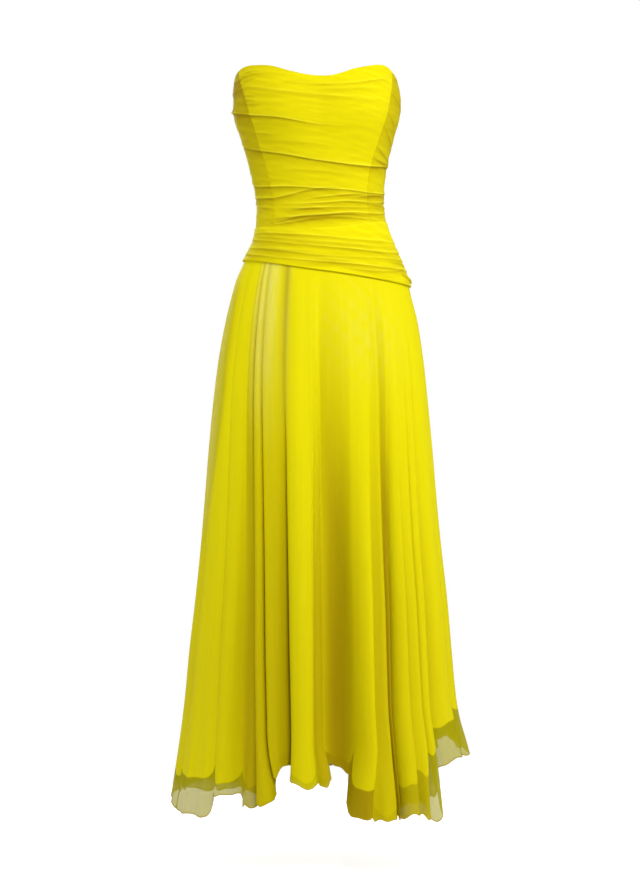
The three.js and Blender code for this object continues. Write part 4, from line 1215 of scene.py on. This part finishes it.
class GOWN_OT_yoke(Operator):
    """Makes the draped hip yoke, front and two back halves"""

    bl_idname = "gown.yoke"
    bl_label = "Hip yoke"

    def execute(self, context):
        cloth = context.scene.gown_cloth
        silk = cloth_material("yoke silk", tuple(cloth.yoke), tuple(cloth.deep), True)
        low = SEAM_GAP / 2

        def rows_of(folds):
            return lambda az: drape_rows(az, lambda at: yoke_top(at) - low, yoke_low, folds, 1.8)

        panels = [
            ("front", 170, lambda u, z: mix(-90.0, 90.0, u), YOKE_FOLDS, YOKE_CREASES, 21),
            ("back_left", 80, lambda u, z: mix(-180.0, -90.0, u),
             back_folds(YOKE_BACK_FOLDS, "left"), left_creases(BACK_CREASES, 7), 22),
            ("back_right", 80, lambda u, z: mix(90.0, 180.0, u),
             back_folds(YOKE_BACK_FOLDS, "right"), BACK_CREASES, 23),
        ]
        for part, columns, az_at, folds, creases, seed in panels:
            # seam 0.4 gives the yoke's upper edge a painted highlight.
            panel = draped_panel("yoke_cloth_" + part, columns, az_at, rows_of(folds),
                                 folds + creases, (2.2, 2.6, 1.2), seed, 0.0, 0.4, 0.56, silk)
            settle(panel, "yoke_" + part)
        return {"FINISHED"}


class SkirtLayer:
    """What the three skirt operators share."""

    layer = ""
    hem_ply = 0.6

    def make(self, material, slot_name):
        """Front and back of one layer, hung from the yoke."""
        for part, first, last in (("front", LEFT_SEAM_FOLD, RIGHT_SEAM_FOLD),
                                  ("back", RIGHT_SEAM_FOLD, LEFT_SEAM_FOLD)):
            name = self.layer + "_cloth_" + part
            panel = skirt_panel(name, self.layer, first, last, self.hem_ply, material)
            settle(panel, "skirt_" + self.layer + "_" + part)


class GOWN_OT_lining(SkirtLayer, Operator):
    """Makes the opaque lining of the skirt"""

    bl_idname = "gown.lining"
    bl_label = "Skirt lining"
    layer = "lining"
    hem_ply = 0.5

    def execute(self, context):
        cloth = context.scene.gown_cloth
        self.make(cloth_material("lining silk", tuple(cloth.lining), tuple(cloth.deep), False),
                  "lining")
        return {"FINISHED"}


class GOWN_OT_underlay(SkirtLayer, Operator):
    """Makes the inner chiffon layer of the skirt"""

    bl_idname = "gown.underlay"
    bl_label = "Chiffon underlay"
    layer = "underlay"

    def execute(self, context):
        cloth = context.scene.gown_cloth
        self.hem_ply = cloth.rolled_hem * 1000
        self.make(cloth_material("underlay chiffon", tuple(cloth.underlay), tuple(cloth.deep),
                                 False, cloth.underlay_alpha, (0.62, 0.56, 0.0)), "underlay")
        return {"FINISHED"}


class GOWN_OT_overlay(SkirtLayer, Operator):
    """Makes the outer chiffon layer of the skirt"""

    bl_idname = "gown.overlay"
    bl_label = "Chiffon overlay"
    layer = "overlay"

    def execute(self, context):
        cloth = context.scene.gown_cloth
        self.hem_ply = cloth.rolled_hem * 1000
        self.make(cloth_material("overlay chiffon", tuple(cloth.overlay), tuple(cloth.deep),
                                 False, cloth.overlay_alpha), "overlay")
        return {"FINISHED"}


class GOWN_OT_zip(Operator):
    """Makes the zip's tape and coil, and finishes its slider and pull"""

    bl_idname = "gown.zip"
    bl_label = "Zip"

    def execute(self, context):
        cloth = context.scene.gown_cloth
        tape = zip_tape(cloth_material("zip tape", tuple(cloth.underlay), tuple(cloth.deep), False))
        coil = zip_coil(zip_material("coil nylon", 0.0))
        for piece in (tape, coil):
            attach(piece, "gown")
        lacquer = zip_material("zip lacquer", 0.35)
        for name in ("zip_slider", "zip_pull"):
            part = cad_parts[name]
            part.data.materials.clear()
            part.data.materials.append(lacquer)
        return {"FINISHED"}


class GOWN_OT_stage(Operator):
    """Sets the floor, the lights and the camera"""

    bl_idname = "gown.stage"
    bl_label = "Stage"

    def execute(self, context):
        scene = context.scene
        settings = scene.gown_stage
        floor = floor_disc("floor", 0.95, settings.floor_height,
                           floor_material(tuple(settings.paper)))
        for row in LIGHTS:
            area_light(row["name"] + " light", row["place"], (0.0, 0.0, row["aim"]), row["size"],
                       getattr(settings, row["name"] + "_power"))
        room_light(scene, settings.daylight)
        camera = bpy.data.cameras.new("camera")
        camera.lens = CAMERA["lens"]
        camera.sensor_width = CAMERA["sensor"]
        viewer = bpy.data.objects.new("camera", camera)
        viewer.location = (0.0, -CAMERA["distance"], CAMERA["height"])
        viewer.rotation_euler = (np.radians(90.0), 0, 0)
        scene.collection.objects.link(viewer)
        scene.camera = viewer
        scene.view_settings.view_transform = "Standard"
        scene.cycles.transparent_max_bounces = 32
        scene.cycles.max_bounces = 10
        scene.cycles.diffuse_bounces = 5
        return {"FINISHED"}


def floor_disc(name, radius, height, material):
    """Round floor: rings of points out from the middle, with the middle one small."""
    turns = np.linspace(0, 2 * np.pi, 96, endpoint=False)
    rings = np.array([0.02, 0.2, 0.4, 0.6, 0.8, 1.0]) * radius
    x = rings[:, None] * np.cos(turns)
    y = rings[:, None] * np.sin(turns)
    points = np.stack([x, y, np.full_like(x, height)], -1).reshape(-1, 3)
    ids = np.arange(len(points)).reshape(x.shape)
    nxt = np.roll(ids, -1, axis=1)
    faces = np.stack([ids[:-1], ids[1:], nxt[1:], nxt[:-1]], -1).reshape(-1, 4)
    mesh = bpy.data.meshes.new(name)
    mesh.from_pydata(points.tolist(), [], [*faces.tolist(), ids[0].tolist()])
    return placed(name, mesh, material)


def area_light(name, place, aim, size, power):
    """A square soft light at place, turned to aim."""
    light = bpy.data.lights.new(name, "AREA")
    light.size = size
    light.energy = power
    lamp = bpy.data.objects.new(name, light)
    lamp.location = place
    lamp.visible_camera = False
    lamp.rotation_euler = (Vector(aim) - Vector(place)).to_track_quat("-Z", "Y").to_euler()
    bpy.context.scene.collection.objects.link(lamp)


def room_light(scene, strength):
    """White room: full white to the eye, and dimmer as light on the gown."""
    world = bpy.data.worlds.new("room")
    world.use_nodes = True
    tree = world.node_tree
    ray = node(tree, "ShaderNodeLightPath")
    back = tree.nodes["Background"]
    back.inputs["Color"].default_value = (1, 1, 1, 1)
    tree.links.new(level(tree, ray.outputs["Is Camera Ray"], strength, 1.0),
                   back.inputs["Strength"])
    scene.world = world


class GOWN_PT_panel(Panel):
    """Lists the gown's settings and pieces"""

    bl_idname = "GOWN_PT_panel"
    bl_label = "Chiffon gown"
    bl_space_type = "VIEW_3D"
    bl_region_type = "UI"
    bl_category = "Gown"

    def draw(self, context):
        scene = context.scene
        for settings in (scene.gown_cloth, scene.gown_stage):
            box = self.layout.box()
            for name in settings.__annotations__:
                box.prop(settings, name)
        for operator in OPERATORS:
            self.layout.operator(operator.bl_idname)


OPERATORS = (GOWN_OT_bodice, GOWN_OT_yoke, GOWN_OT_lining, GOWN_OT_underlay, GOWN_OT_overlay,
             GOWN_OT_zip, GOWN_OT_stage)
CLASSES = (ClothSettings, StageSettings, *OPERATORS, GOWN_PT_panel)


def register():
    """Registers the classes and hangs the settings on the scene."""
    for cls in CLASSES:
        bpy.utils.register_class(cls)
    bpy.types.Scene.gown_cloth = PointerProperty(type=ClothSettings)
    bpy.types.Scene.gown_stage = PointerProperty(type=StageSettings)


def unregister():
    """Takes the settings and classes away again."""
    del bpy.types.Scene.gown_stage
    del bpy.types.Scene.gown_cloth
    for cls in reversed(CLASSES):
        bpy.utils.unregister_class(cls)


def main():
    """Makes the gown and its stage."""
    register()
    bpy.ops.gown.bodice()
    bpy.ops.gown.yoke()
    bpy.ops.gown.lining()
    bpy.ops.gown.underlay()
    bpy.ops.gown.overlay()
    bpy.ops.gown.zip()
    bpy.ops.gown.stage()


if __name__ == "__main__":
    main()
